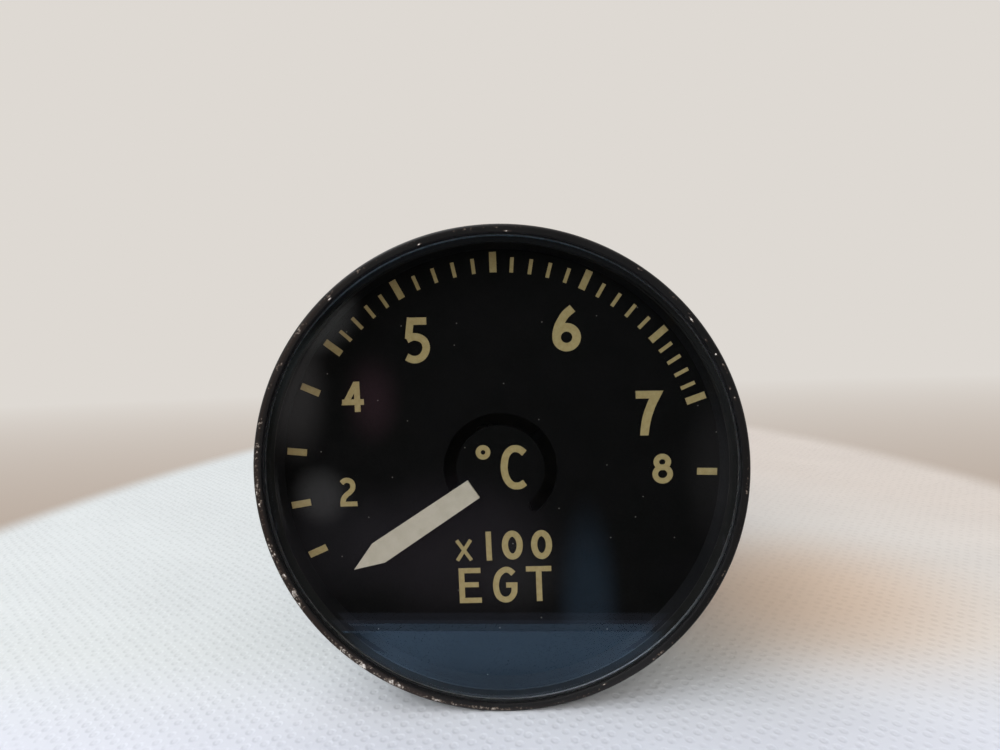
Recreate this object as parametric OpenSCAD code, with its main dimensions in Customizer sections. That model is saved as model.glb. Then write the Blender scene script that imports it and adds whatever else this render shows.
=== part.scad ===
// Exhaust gas temperature gauge: a two inch, clamp mounted cockpit instrument.
// A moving coil turns in a ring shaped magnet gap, so the pointer sweeps far more than a
// half circle. The pointer stands in front of the dial and its cranked arm goes back
// through a C shaped slot in the dial, round the centre disc that the dial keeps.
//
// Every piece is drawn with the gauge lying on its back, glass upwards, and upright() stands
// it up once: the glass then faces -Y, the case runs back along +Y and +Z is up.
// Radii are from the gauge's own axis. Heights (z_ names) are from the face that sits on the
// instrument panel, positive towards the glass. Angles run anticlockwise from +X as seen
// from the front. All lengths are in millimetres.

/* [Bezel and window] */
// How far the bezel reaches past the case, over the rim of the panel's hole
bezel_overlap = 3.2; // [3:0.05:3.8]
// Radial thickness of the bezel wall
bezel_wall = 1.0; // [0.8:0.05:1.2]
// Rounding of the bezel's front edge
bezel_round = 0.4; // [0.2:0.05:0.45]
// Thickness of the lip that the bezel turns in behind the case flange
lip_t = 0.7; // [0.5:0.05:1.2]
// Thickness of the glass
glass_t = 2.0; // [1.6:0.1:2.6]
// How far the glass sits below the bezel's front edge
glass_recess = 0.15; // [0.1:0.05:0.6]
// Width of the bevel ground on the glass
glass_bevel_w = 0.9; // [0.5:0.05:1.2]
// Depth of that bevel
glass_bevel_h = 0.3; // [0.2:0.05:0.9]
// Width of the bead of sealant between glass and bezel
bead_w = 0.15; // [0.1:0.05:0.3]
// Thickness of the seal behind the glass
seal_t = 0.3; // [0.2:0.05:0.6]

/* [Dial] */
// Thickness of the dial plate
dial_t = 0.5; // [0.4:0.05:0.8]
// Depth of the ring between dial and glass seal
mask_h = 2.0; // [1.8:0.1:3.2]
// Radial width of that ring at the dial
mask_w = 1.45; // [1.2:0.05:1.8]
// How much wider that opening is at the glass
mask_flare = 0.6; // [0.3:0.05:0.7]
// Inner radius of the slot that the pointer's arm goes through
slot_r_in = 5.3; // [5.1:0.05:5.4]
// Outer radius of the slot
slot_r_out = 6.8; // [6.7:0.05:7.2]
// Angle where the slot begins, left of the centre disc's neck
slot_start_angle = 226; // [222:1:232]
// Angle that the slot covers, over the top
slot_sweep_angle = 275; // [262:1:285]
// Clear space between the scale marks and that ring
mark_inset = 0.3; // [0.2:0.05:1]
// Length of a numbered or half way mark
major_l = 2.35; // [1.9:0.05:2.4]
// Width of a numbered or half way mark
major_w = 0.82; // [0.6:0.02:1.2]
// Length of a fine mark
minor_l = 1.75; // [1.2:0.05:1.85]
// Width of a fine mark
minor_w = 0.43; // [0.3:0.01:0.6]
// Thickness of the paint of a mark
mark_t = 0.05; // [0.03:0.01:0.1]

/* [Pointer] */
// Angle of the pointer at rest
rest_angle = 212.7; // [211:0.1:214]
// Radius of the pointer's inner end
blade_from = 3.8; // [3.4:0.1:4.2]
// Clear space between the pointer's tip and the scale marks
tip_space = 1.95; // [0.8:0.05:3]
// Length of the point
blade_point = 3.6; // [2.4:0.1:5]
// Width of the blade at its inner end
blade_w = 2.5; // [2:0.1:3]
// Width of the blade where its point begins
blade_tip_w = 2.75; // [2.2:0.05:3.2]
// Thickness of the blade
blade_t = 0.25; // [0.15:0.05:0.4]
// Height of the blade above the dial
blade_lift = 0.95; // [0.6:0.05:1.2]
// Radial thickness of the leg that goes back through the slot
leg_t = 0.5; // [0.4:0.05:0.6]
// Width of that leg
leg_w = 1.5; // [1:0.1:1.8]
// Thickness of the crank arms on the staff
crank_t = 0.8; // [0.6:0.05:1]
// Width of the crank arms
crank_w = 1.4; // [1:0.1:1.8]
// Radius of the crank's hub
hub_r = 1.8; // [1.5:0.1:2.2]
// Radius that the stop tail reaches
tail_r = 8.9; // [8.7:0.1:9.2]
// Width of the stop tail
tail_w = 1.0; // [0.8:0.1:1.4]
// Radius at which the trim weights sit
trim_at = 4.2; // [3.8:0.1:4.6]
// Radius of a trim weight
trim_r = 0.9; // [0.8:0.05:1.1]
// Free movement between the resting pointer and its lower stop, in degrees
under_travel_angle = 5; // [3:0.5:6]
// Travel from the resting pointer to its upper stop, in degrees
over_travel_angle = 221; // [216:1:223]

/* [Staff and springs] */
// Radius of the staff
staff_r = 0.5; // [0.4:0.05:0.6]
// Length of each pivot cone
pivot_l = 0.8; // [0.7:0.05:0.9]
// Depth of the jewel cup
cup_l = 0.6; // [0.5:0.05:0.65]
// Radius of the jewel screws
jewel_r = 1.0; // [0.9:0.05:1.1]
// Radius of the collets that hold the springs' inner ends
collet_r = 1.15; // [1:0.05:1.3]
// Height of a collet
collet_h = 0.6; // [0.5:0.05:0.8]
// Thickness of the spring strip
strip_t = 0.1; // [0.08:0.01:0.16]
// Height of the spring strip
strip_h = 0.3; // [0.2:0.05:0.4]
// Turns of each spring
spring_turns = 6; // [4:0.5:7]
// Outer radius of each spring
spring_r = 4.15; // [3.8:0.05:4.2]
// Radius of the posts that hold the springs' outer ends
spring_post_r = 0.35; // [0.3:0.05:0.4]
// Thickness of the zero arm
zero_t = 0.65; // [0.5:0.05:0.8]
// Angle of the zero arm
zero_angle = 105; // [95:1:125]

/* [Coil and magnet] */
// Inner radius of the core ring
core_r_in = 6.5; // [6.4:0.1:7.2]
// Radial thickness of the core ring
core_w = 4.0; // [3.6:0.1:4.4]
// Length of the core ring and of the pole ring
iron_l = 9.4; // [8:0.2:12]
// Air left between the iron and the coil former
coil_gap = 0.5; // [0.45:0.05:0.6]
// Thickness of the coil former
former_t = 0.4; // [0.3:0.05:0.5]
// Width of the coil former
former_w = 3.0; // [2.4:0.1:3]
// Thickness of the winding
winding_t = 0.4; // [0.3:0.05:0.5]
// Width of the winding
winding_w = 2.4; // [1.8:0.1:2.4]
// Air left between the winding and the pole ring
pole_gap = 0.5; // [0.4:0.05:0.8]
// Air left between the pole ring and the case lugs
pole_space = 1.0; // [0.7:0.1:1.3]
// Radial thickness of the magnet
magnet_t = 5.0; // [4.4:0.1:5.2]
// Middle angle of the magnet
magnet_angle = 112; // [110:1:114]
// Angle that the magnet covers
magnet_span_angle = 56; // [46:1:58]
// Angle of the assembly slot in the core ring
core_slot_angle = 70; // [68:1:72]
// Width of that slot in degrees
core_slot_span_angle = 12; // [8:1:14]
// Thickness of the brackets that bridge core ring and pole ring
bracket_t = 0.9; // [0.7:0.1:1]
// Angle that a bracket covers
bracket_span_angle = 40; // [30:1:44]
// Thickness of the arms that carry the coil
carrier_t = 0.8; // [0.6:0.1:1]
// Outer radius of the counterweight on the staff
weight_r = 5.0; // [4.6:0.1:5.4]
// Length of the counterweight
weight_l = 6.57; // [5.4:0.01:8]
// Half of the angle that the counterweight covers
weight_half_angle = 50; // [44:1:56]

/* [Movement frame] */
// Clear space between the dial and the front bridge
bridge_gap = 1.0; // [0.9:0.1:1.6]
// Thickness of the front bridge
bridge_t = 1.2; // [1:0.1:1.6]
// Radius of the bridge's round end over the staff
bridge_r = 3.0; // [2.6:0.1:3.4]
// Width of the bridge's neck
bridge_w = 4.0; // [3:0.1:5]
// Radius where the bridge's foot begins
foot_r = 10.2; // [10:0.1:10.6]
// Radial width of the foot
foot_w = 3.6; // [3:0.1:4]
// Angle that the foot covers
foot_span_angle = 40; // [34:1:46]
// Thickness of the front and rear plates
plate_t = 1.6; // [1.4:0.1:2]
// Radius of the hole for the staff in the front plate
plate_hole_r = 3.0; // [2.4:0.1:3.4]
// Clear space between crank arms and front plate
crank_gap = 0.8; // [0.6:0.1:1.2]
// Clear space between front plate and coil arms
coil_space = 1.3; // [1:0.1:2]
// Clear space between coil arms and rear plate
rear_space = 2.6; // [2.4:0.1:3.4]
// How far in from the pole ring's edge the yoke pillars stand
pillar_inset = 3.1; // [2.9:0.1:3.3]
// Angle of the first yoke pillar
pillar_angle = 52; // [50:1:54]
// Radius of a yoke pillar's collar
pillar_r = 1.9; // [1.6:0.1:2.1]
// Radius of a yoke pillar's stem
stem_r = 1.0; // [0.8:0.05:1.1]
// Radius at which the stop pins stand
stop_at = 8.2; // [8.1:0.1:8.3]
// Radius of a stop pin
stop_r = 0.5; // [0.4:0.05:0.55]
// How far in from the front plate's edge the dial feet stand
dial_foot_inset = 2.3; // [1.9:0.1:2.9]
// Radius of a dial foot
dial_foot_r = 1.3; // [1:0.1:1.5]

/* [Range resistors] */
// Radius at which a resistor bobbin stands
bobbin_at = 11.5; // [11:0.1:12]
// Radius of a bobbin's flanges
bobbin_r = 5.2; // [4.6:0.1:5.4]
// Radius of a bobbin's core
bobbin_core_r = 2.4; // [2.2:0.1:3]
// Length of a bobbin
bobbin_l = 12; // [9:0.5:16]
// Thickness of a bobbin's flanges
bobbin_flange_t = 1.1; // [0.8:0.1:1.4]
// Depth of wire on a bobbin
wire_depth = 2.0; // [1:0.1:2.1]

/* [Case] */
// Diameter of the case, the size of the panel hole it goes through
case_d = 50.8; // [50.4:0.1:51]
// Thickness of the case wall
case_wall = 1.2; // [1:0.1:1.4]
// Thickness of the case's front flange
flange_t = 0.7; // [0.5:0.05:1.2]
// How much slimmer the case is where the bezel's lip closes round it
neck_step = 0.3; // [0.25:0.05:0.5]
// Length of the case behind the panel face
case_l = 57; // [54:0.5:70]
// Length of the lugs that the front plate sits on
lug_l = 5; // [4:0.5:7]
// Radial depth of those lugs
lug_w = 3.7; // [3.4:0.1:3.8]
// Angle that a lug covers
lug_span_angle = 18; // [14:1:22]
// Radius of the bosses for the cover screws
boss_r = 2.5; // [2.2:0.1:2.8]
// Length of those bosses
boss_l = 7; // [6:0.5:10]
// Thickness of the rear gasket
gasket_t = 0.5; // [0.3:0.05:0.8]
// Thickness of the rear cover
cover_t = 2.4; // [2:0.1:3.4]
// Height of the raised rim that locates the cover in the case
spigot_h = 1.2; // [0.8:0.1:1.8]

/* [Terminals] */
// Length of the terminal block
block_l = 38; // [36:0.5:40]
// Width of the terminal block
block_w = 16; // [15:0.5:18]
// Thickness of the terminal block's base
block_t = 4.5; // [3.5:0.1:6]
// Height of the barrier between the two studs
barrier_h = 7; // [4:0.5:8]
// Thickness of that barrier
barrier_t = 2; // [1.4:0.1:2.6]
// Radius of the half round posts at the barrier's ends
barrier_flare = 2.4; // [1.8:0.1:3]
// How far in from the block's end each stud stands
stud_inset = 9.5; // [9:0.25:10]
// How far in from the block's end each block screw stands
block_screw_inset = 3.2; // [3:0.1:3.4]
// Diameter of the larger, negative stud
large_stud_d = 4.7; // [4.4:0.05:4.9]
// Diameter of the smaller, positive stud
small_stud_d = 3.6; // [3.3:0.05:3.9]
// Length of a stud behind the block
stud_l = 12.5; // [11:0.5:15]
// Length of the plain end of a stud, past its nut
stud_end_l = 6; // [5:0.5:6.5]
// Radial step from a stud's thread to its plain end
stud_step = 0.2; // [0.1:0.05:0.3]
// Thickness of a terminal nut
nut_t = 3.2; // [2.6:0.1:3.6]
// Thickness of a terminal washer
washer_t = 0.8; // [0.5:0.1:1]

/* [Fits] */
// Gap between pieces that drop into each other
fit_gap = 0.15; // [0.1:0.05:0.2]
// Gap between a screw or stem and its hole
thread_gap = 0.05; // [0.03:0.01:0.1]
// Gap of a joint that turns under friction
turn_gap = 0.05; // [0.03:0.01:0.1]

/* [Hidden] */
$fn = 96;
cut = 0.5;
graze = 0.02;

// Radii from the rim inwards
case_r = case_d / 2;
case_in_r = case_r - case_wall;
bezel_r = case_r + bezel_overlap;
bore_r = bezel_r - bezel_wall;
glass_r = bore_r - bead_w;
stack_r = bore_r - fit_gap;
mask_r = stack_r - mask_w;
mark_r = mask_r - mark_inset - major_l;
blade_to = mark_r - tip_space;

// Heights of the window and dial, built up from the panel face
z_flange = lip_t;
z_dial_back = z_flange + flange_t;
z_dial = z_dial_back + dial_t;
z_mask = z_dial + mask_h;
z_glass = z_mask + seal_t;
z_window = z_glass + glass_t;
z_rim = z_window + glass_recess;
z_blade = z_dial + blade_lift;

// Heights of the movement, from the dial backwards
spring_air = 0.2;
z_bridge = z_dial_back - bridge_gap;
z_bridge_back = z_bridge - bridge_t;
z_zero = z_bridge_back - turn_gap;
z_zero_back = z_zero - zero_t;
z_jewel_back = z_zero_back - 2 * turn_gap;
z_spring = z_zero_back - strip_h - spring_air;
z_spring_back = z_spring - strip_h;
z_post_back = z_spring_back - spring_air;
z_crank = z_post_back - strip_h;
z_crank_back = z_crank - crank_t;
z_plate = z_crank_back - crank_gap;
z_plate_back = z_plate - plate_t;
z_carrier = z_plate_back - coil_space;
z_winding = z_carrier - carrier_t;
z_former = z_winding - winding_t;
z_window_front = z_former - former_t;
z_iron = z_window_front - coil_gap;
z_iron_back = z_iron - iron_l;
z_window_back = z_iron_back - coil_gap;
z_former_back = z_window_back - former_t;
z_winding_back = z_former_back - winding_t;
z_carrier_back = z_winding_back - carrier_t;
z_rear_plate = z_carrier_back - rear_space;
z_rear_plate_back = z_rear_plate - plate_t;
z_rear_spring = z_rear_plate + rear_space / 2;
z_rear_jewel = z_rear_plate + rear_space / 4;
z_bobbin_back = z_rear_plate_back - bobbin_l;

// The end float of the staff between its jewels, and the depth of the cups
end_float = 0.05;
tip_r = 0.06;
cup_tip_r = 0.09;
cup_r = 0.55;
z_front_tip = z_jewel_back + cup_l - end_float;
z_rear_tip = z_rear_jewel - cup_l + end_float;

// Heights of the rear of the case
z_case_end = -case_l;
z_cover = z_case_end - gasket_t;
z_cover_back = z_cover - cover_t;
z_block_back = z_cover_back - block_t;

// The crank's leg runs in the middle of the dial's slot
leg_at = (slot_r_in + slot_r_out) / 2;

// The movement's plates fill the case; the pole ring stays inside the case lugs
lug_r_in = case_in_r - lug_w;
plate_r = case_in_r - 2 * fit_gap;
pole_r = lug_r_in - pole_space;
pillar_at = pole_r - pillar_inset;
dial_foot_at = plate_r - dial_foot_inset;

// The coil sits across the axis from the pointer; its sides close round the core ring
coil_angle = rest_angle - 180;
core_r = core_r_in + core_w;
window_r_in = core_r_in - coil_gap;
window_r_out = core_r + coil_gap;
former_r_in = window_r_in - former_t;
former_r_out = window_r_out + former_t;
winding_r_in = former_r_in - winding_t;
winding_r_out = former_r_out + winding_t;
pole_in_r = winding_r_out + pole_gap;
magnet_r = core_r + magnet_t;
glue = 0.05;
bracket_screw_r = 0.6;
bracket_screw_wall = 0.8;
bracket_screw_head_r = 1.1;
bracket_edge = 0.4;
bracket_screw_rows = [core_r_in + core_w / 2, magnet_r + bracket_screw_r + bracket_screw_wall];

// The stop tail lies over the coil; each pin stands where the tail's side meets it
stop_half_angle = asin((tail_w / 2 + stop_r) / stop_at) + 0.3;
stop_angles = [coil_angle + under_travel_angle + stop_half_angle,
               coil_angle - over_travel_angle - stop_half_angle];

// The bridge stands in the sector below the axis that the pointer's arm never enters
bridge_angle = rest_angle + (360 - over_travel_angle + under_travel_angle) / 2;
bridge_screw_r = 0.6;
bridge_screw_head_r = 1.1;
bridge_screw_half_angle = foot_span_angle / 2 - 7;

// Three lugs carry the front plate, three pillars stand between them
lug_angles = [90, 210, 330];
foot_angles = [30, 150, 270];
pillar_angles = [for (i = [0:2]) pillar_angle + 120 * i];
lug_screw_at = lug_r_in + lug_w / 2;
lug_screw_r = 0.8;
lug_screw_head_r = 1.4;
lug_screw_head_t = 1.0;
front_jewel_h = z_bridge + 0.6 - z_jewel_back;
bobbin_angles = [magnet_angle, magnet_angle + 120];
bobbin_screw_r = 0.9;
bobbin_screw_head_r = 1.7;
bobbin_screw_head_t = 1.1;
spring_post_at = spring_r + strip_t / 2 + spring_post_r + 0.02;
compensator_r = spring_r + 2 * spring_post_r + 1.1;
compensator_span_angle = 150;
yoke_nut_t = 1.3;
jewel_nut_t = 1.0;

// Four screws hold the cover, in bosses that stand clear of the case wall's inner face
boss_angles = [45, 135, 225, 315];
boss_at = case_in_r - boss_r + 0.2;
cover_screw_r = 1.0;
cover_screw_head_r = 1.9;
cover_screw_head_t = 1.3;
spigot_r = boss_at - boss_r - 2 * fit_gap;

// Terminals: one row for each stud, with its side (+1 is right), its radius and its nut radius
studs = [[-1, small_stud_d / 2], [1, large_stud_d / 2]];
stud_collar_t = 1.2;
stud_at = block_l / 2 - stud_inset;
block_screw_at = block_l / 2 - block_screw_inset;
block_screw_r = 1.0;
block_screw_head_r = 1.9;
block_screw_head_t = 1.2;
bush_wall = 1.0;
bush_head_t = 0.8;
tag_t = 0.5;
tag_l = 7;
inner_nut_t = 2.2;
z_tag = z_cover + bush_head_t;
z_stud_inner = z_tag + tag_t + inner_nut_t + 0.8;
lead_r = 0.5;

// Scale: the mark's value in hundreds of degrees and its angle; it is spread out from 4.5 to 7
scale_points = [[1, 202.9], [2, 188.4], [3, 173.4], [4, 155.2], [4.5, 141.7], [5, 117.5],
                [5.5, 90.0], [6, 64.2], [6.5, 39.3], [7, 18.7], [8, -2.2]];
fine_from = 4.5;
fine_to = 7;
fine_steps = 5;

// Stands the gauge up, from lying on its back to facing -Y
module upright() { rotate([90, 0, 0]) children(); }

// Puts a piece at a radius and an angle, turned to face outwards
module at(r, a) { rotate([0, 0, a]) translate([r, 0, 0]) children(); }

// A plain round bar between two heights
module disc(r, z0, z1) { translate([0, 0, z0]) cylinder(r = r, h = z1 - z0); }

// A tube between two heights
module ring(r_in, r_out, z0, z1) {
    difference() {
        disc(r_out, z0, z1);
        disc(r_in, z0 - cut, z1 + cut);
    }
}

// A pie slice from angle a0 anticlockwise to a1, used to cut arcs out of rings
module wedge(r, a0, a1, z0, z1) {
    steps = ceil((a1 - a0) / 30);
    far = r / cos(15) + cut;
    outline = concat([[0, 0]], [for (i = [0:steps])
        far * [cos(a0 + (a1 - a0) * i / steps), sin(a0 + (a1 - a0) * i / steps)]]);
    translate([0, 0, z0]) linear_extrude(z1 - z0) polygon(outline);
}

// A block of a ring between two angles
module arc_block(r_in, r_out, a0, a1, z0, z1) {
    intersection() {
        ring(r_in, r_out, z0, z1);
        wedge(r_out, a0, a1, z0 - cut, z1 + cut);
    }
}

// A slotted cheese head screw: the head stands on height 0 and the thread runs down
module cheese_screw(r, l, head_r, head_h) {
    difference() {
        union() {
            disc(head_r, 0, head_h);
            disc(r, -l, cut / 5);
        }
        translate([-head_r - cut, -head_r / 8, head_h * 0.55])
            cube([2 * head_r + 2 * cut, head_r / 4, head_h]);
    }
}

// A flat strip wound into a spiral, from its inner radius to its outer one
module spiral(r_in, r_out, turns, t, z0, h, end_a) {
    steps = ceil(turns * 24);
    function at_step(i, side) =
        let (a = end_a - 360 * turns * (1 - i / steps), r = r_in + (r_out - r_in) * i / steps)
        (r + side * t / 2) * [cos(a), sin(a)];
    outline = concat([for (i = [0:steps]) at_step(i, 1)], [for (i = [steps:-1:0]) at_step(i, -1)]);
    translate([0, 0, z0]) linear_extrude(h) polygon(outline);
}

// A flexible lead that leaves one place and reaches another in a soft S, ring by ring
module lead(from, to) {
    sides = 8;
    rings = 14;
    function place(t) = from + [(to.x - from.x) * t * t * (3 - 2 * t),
                                (to.y - from.y) * t * t * (3 - 2 * t), (to.z - from.z) * t];
    points = [for (i = [0:rings], k = [0:sides - 1])
        place(i / rings) + lead_r * [cos(360 * k / sides), sin(360 * k / sides), 0]];
    walls = [for (i = [0:rings - 1], k = [0:sides - 1])
        let (n = (k + 1) % sides)
        [i * sides + k, (i + 1) * sides + k, (i + 1) * sides + n, i * sides + n]];
    ends = [[for (k = [0:sides - 1]) k], [for (k = [sides - 1:-1:0]) rings * sides + k]];
    polyhedron(points, concat(walls, ends));
}

// Turned ring with a lip behind the case flange and a rounded front edge
module bezel() {
    lip_r = case_r + fit_gap;
    chamfer = bezel_wall * 0.3;
    front_arc = [for (i = [0:4]) [bezel_r - bezel_round * (1 - cos(22.5 * i)),
                                  z_rim - bezel_round * (1 - sin(22.5 * i))]];
    color("#1d1c1c") upright() rotate_extrude() polygon(concat(
        [[lip_r, 0], [bezel_r - chamfer, 0], [bezel_r, chamfer]], front_arc,
        [[bore_r + chamfer / 2, z_rim], [bore_r, z_rim - chamfer / 2], [bore_r, z_flange],
         [lip_r, z_flange]]));
}

// Flat window with a ground bevel round its front edge
module glass() {
    back = 0.2;
    color("#9fb3c0", 0.35) upright() rotate_extrude() polygon([
        [0, z_glass], [glass_r - back, z_glass], [glass_r, z_glass + back],
        [glass_r, z_window - glass_bevel_h], [glass_r - glass_bevel_w, z_window], [0, z_window]]);
}

// Sealant run into the joint round the glass
module glazing_bead() {
    color("#0e0e0e") upright()
        ring(glass_r, bore_r, z_glass, z_window - glass_bevel_h);
}

// Rubber ring that the glass is bedded on
module glass_seal() {
    color("#161616") upright()
        ring(mask_r + mask_flare, stack_r, z_mask, z_glass);
}

// Deep ring that holds the dial down and hides its edge; its bore opens towards the glass
module dial_mask() {
    color("#151515") upright() rotate_extrude() polygon([
        [mask_r, z_dial], [stack_r, z_dial], [stack_r, z_mask],
        [mask_r + mask_flare, z_mask]]);
}

// The slot in the dial; its round ends are a hair slimmer than the slot, so that no faces
// only graze each other
module dial_slot() {
    end_r = (slot_r_out - slot_r_in) / 2 - graze;
    z0 = z_dial_back - cut;
    z1 = z_dial + cut;
    difference() {
        ring(slot_r_in, slot_r_out, z0, z1);
        wedge(slot_r_out, slot_start_angle, slot_start_angle + 360 - slot_sweep_angle, z0 - cut,
              z1 + cut);
    }
    for (a = [slot_start_angle, slot_start_angle - slot_sweep_angle])
        at(leg_at, a) disc(end_r, z0, z1);
}

// Dial with its centre disc, joined below by the neck that the slot leaves
module dial_plate() {
    color("#0c0c0d") upright() difference() {
        disc(stack_r, z_dial_back, z_dial);
        dial_slot();
    }
}

// Painted marks: long ones at every scale point, four fine ones between those that are spread
module scale_marks() {
    color("#b3a783") upright() {
        for (p = scale_points) mark(p[1], major_l, major_w);
        for (i = [0:len(scale_points) - 2])
            if (scale_points[i][0] >= fine_from && scale_points[i + 1][0] <= fine_to)
                for (k = [1:fine_steps - 1])
                    mark(scale_points[i][1] + (scale_points[i + 1][1] - scale_points[i][1])
                         * k / fine_steps, minor_l, minor_w);
    }
}

// One mark, lying along its own radius
module mark(a, l, w) {
    at(mark_r, a) translate([0, -w / 2, z_dial]) cube([l, w, mark_t]);
}

// Flat blade, a little wider where its point begins
module pointer() {
    shoulder = blade_to - blade_point;
    color("#cdc5b2") upright() rotate([0, 0, rest_angle]) translate([0, 0, z_blade])
        linear_extrude(blade_t) polygon([
            [blade_from, -blade_w / 2], [shoulder, -blade_tip_w / 2], [blade_to, 0],
            [shoulder, blade_tip_w / 2], [blade_from, blade_w / 2]]);
}

// Hub, arm and leg that carry the blade, with the stop tail and two arms for trim weights
module pointer_crank() {
    color("#1b1b1b") upright() rotate([0, 0, rest_angle]) difference() {
        union() {
            disc(hub_r, z_crank_back, z_crank);
            translate([0, -crank_w / 2, z_crank_back])
                cube([leg_at + leg_t / 2, crank_w, crank_t]);
            translate([leg_at - leg_t / 2, -leg_w / 2, z_crank_back])
                cube([leg_t, leg_w, z_blade - z_crank_back]);
            translate([-tail_r, -tail_w / 2, z_crank_back]) cube([tail_r, tail_w, crank_t]);
            for (side = [-1, 1]) rotate([0, 0, 90 * side]) difference() {
                translate([0, -tail_w / 2, z_crank_back]) cube([trim_at, tail_w, crank_t]);
                translate([trim_at, 0, 0]) disc(trim_r, z_crank_back - cut, z_crank + cut);
            }
        }
        disc(staff_r, z_crank_back - cut, z_crank + cut);
    }
}

// Two small weights on the side arms, slid until the pointer rests the same any way up
module trim_weights() {
    color("#b08d4c") upright() for (side = [-1, 1])
        at(trim_at, rest_angle + 90 * side) disc(trim_r, z_crank_back, z_crank);
}

// Spindle of the movement, a conical pivot at each end
module staff() {
    z_front = z_front_tip - pivot_l;
    z_back = z_rear_tip + pivot_l;
    color("#9a9ca0") upright() rotate_extrude() polygon([
        [0, z_rear_tip], [tip_r, z_rear_tip], [staff_r, z_back], [staff_r, z_front],
        [tip_r, z_front_tip], [0, z_front_tip]]);
}

// A rectangular frame round the core ring's section, in the plane of the axis
module coil_frame(r_in, r_out, z0, z1, t, w) {
    rotate([0, 0, coil_angle]) difference() {
        translate([r_in, -w / 2, z0]) cube([r_out - r_in, w, z1 - z0]);
        translate([r_in + t, -w / 2 - cut, z0 + t])
            cube([r_out - r_in - 2 * t, w + 2 * cut, z1 - z0 - 2 * t]);
    }
}

// Frame that the coil is wound on; it also damps the pointer's swing
module coil_former() {
    color("#b9bcc0") upright()
        coil_frame(former_r_in, former_r_out, z_former_back, z_former, former_t, former_w);
}

// The moving coil
module coil_winding() {
    color("#8a4a22") upright()
        coil_frame(winding_r_in, winding_r_out, z_winding_back, z_winding, winding_t, winding_w);
}

// Arms that join the coil's two ends to the staff
module coil_carrier() {
    reach = (winding_r_in + winding_r_out) / 2;
    color("#b08d4c") upright() for (z = [z_winding, z_carrier_back])
        difference() {
            union() {
                disc(hub_r, z, z + carrier_t);
                rotate([0, 0, coil_angle]) translate([0, -winding_w / 2, z])
                    cube([reach, winding_w, carrier_t]);
            }
            disc(staff_r, z - cut, z + carrier_t + cut);
        }
}

// Half round weight inside the core ring that balances the coil
module counterweight() {
    z0 = (z_iron + z_iron_back - weight_l) / 2;
    z1 = z0 + weight_l;
    color("#b08d4c") upright() difference() {
        union() {
            disc(hub_r, z0, z1);
            arc_block(staff_r, weight_r, rest_angle - weight_half_angle,
                      rest_angle + weight_half_angle, z0, z1);
        }
        disc(staff_r, z0 - cut, z1 + cut);
    }
}

// Collets that grip the staff and hold the springs' inner ends
module spring_collets() {
    color("#b08d4c") upright()
        for (z = [z_spring - strip_h / 2, z_rear_spring])
            ring(staff_r, collet_r, z - collet_h / 2, z + collet_h / 2);
}

// Front control spring, which also leads the current to the coil
module front_hairspring() {
    color("#9a6a2f") upright()
        spiral(collet_r + strip_t, spring_r, spring_turns, strip_t, z_spring_back, strip_h,
               zero_angle);
}

// Rear control spring, wound the other way
module rear_hairspring() {
    color("#9a6a2f") upright() mirror([0, 1, 0])
        spiral(collet_r + strip_t, spring_r, spring_turns, strip_t,
               z_rear_spring - strip_h / 2, strip_h, -zero_angle);
}

// Friction arm on the bridge's boss; turning it sets the pointer's resting place
module zero_arm() {
    boss = jewel_r + 0.8;
    color("#211f1c") upright() difference() {
        union() {
            disc(boss + 1.1, z_zero_back, z_zero);
            rotate([0, 0, zero_angle]) translate([0, -0.6, z_zero_back])
                cube([spring_post_at, 1.2, zero_t]);
            at(spring_post_at, zero_angle) disc(spring_post_r, z_post_back, z_zero);
        }
        disc(boss + turn_gap, z_zero_back - cut, z_zero + cut);
    }
}

// Cock over the staff's front end, on a foot below the axis
module front_bridge() {
    half = foot_span_angle / 2;
    color("#211f1c") upright() difference() {
        union() {
            disc(bridge_r, z_bridge_back, z_bridge);
            disc(jewel_r + 0.8, z_jewel_back, z_bridge);
            rotate([0, 0, bridge_angle]) translate([0, -bridge_w / 2, z_bridge_back])
                cube([foot_r + foot_w / 2, bridge_w, bridge_t]);
            arc_block(foot_r, foot_r + foot_w, bridge_angle - half, bridge_angle + half, z_plate,
                      z_bridge);
        }
        disc(jewel_r + thread_gap, z_jewel_back - cut, z_bridge + cut);
        bridge_screw_places() disc(bridge_screw_r + thread_gap, z_plate - cut, z_bridge + cut);
    }
}

module bridge_screw_places() {
    for (side = [-1, 1])
        at(foot_r + foot_w / 2, bridge_angle + side * bridge_screw_half_angle) children();
}

module bridge_screws() {
    l = z_bridge - z_plate_back - 0.2;
    color("#2f2e2d") upright() bridge_screw_places()
        translate([0, 0, z_bridge]) cheese_screw(bridge_screw_r, l, bridge_screw_head_r,
                                               bridge_gap * 0.6);
}

// Screw with a cup jewel in its end
module jewel_screw(z0, z1, cup_at_top) {
    z_cup = cup_at_top ? z1 - cup_l : z0;
    difference() {
        disc(jewel_r, z0, z1);
        translate([0, 0, z_cup]) cylinder(r1 = cup_at_top ? cup_tip_r : cup_r,
                                          r2 = cup_at_top ? cup_r : cup_tip_r, h = cup_l);
        translate([-jewel_r - cut, -0.15, cup_at_top ? z0 - cut : z1 - 0.3])
            cube([2 * (jewel_r + cut), 0.3, cut + 0.3]);
    }
}

module front_jewel_screw() {
    color("#c7a24a") upright()
        jewel_screw(z_jewel_back, z_jewel_back + front_jewel_h, false);
}

module rear_jewel_screw() {
    color("#c7a24a") upright()
        jewel_screw(z_rear_plate_back - plate_t, z_rear_jewel, true);
}

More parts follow.
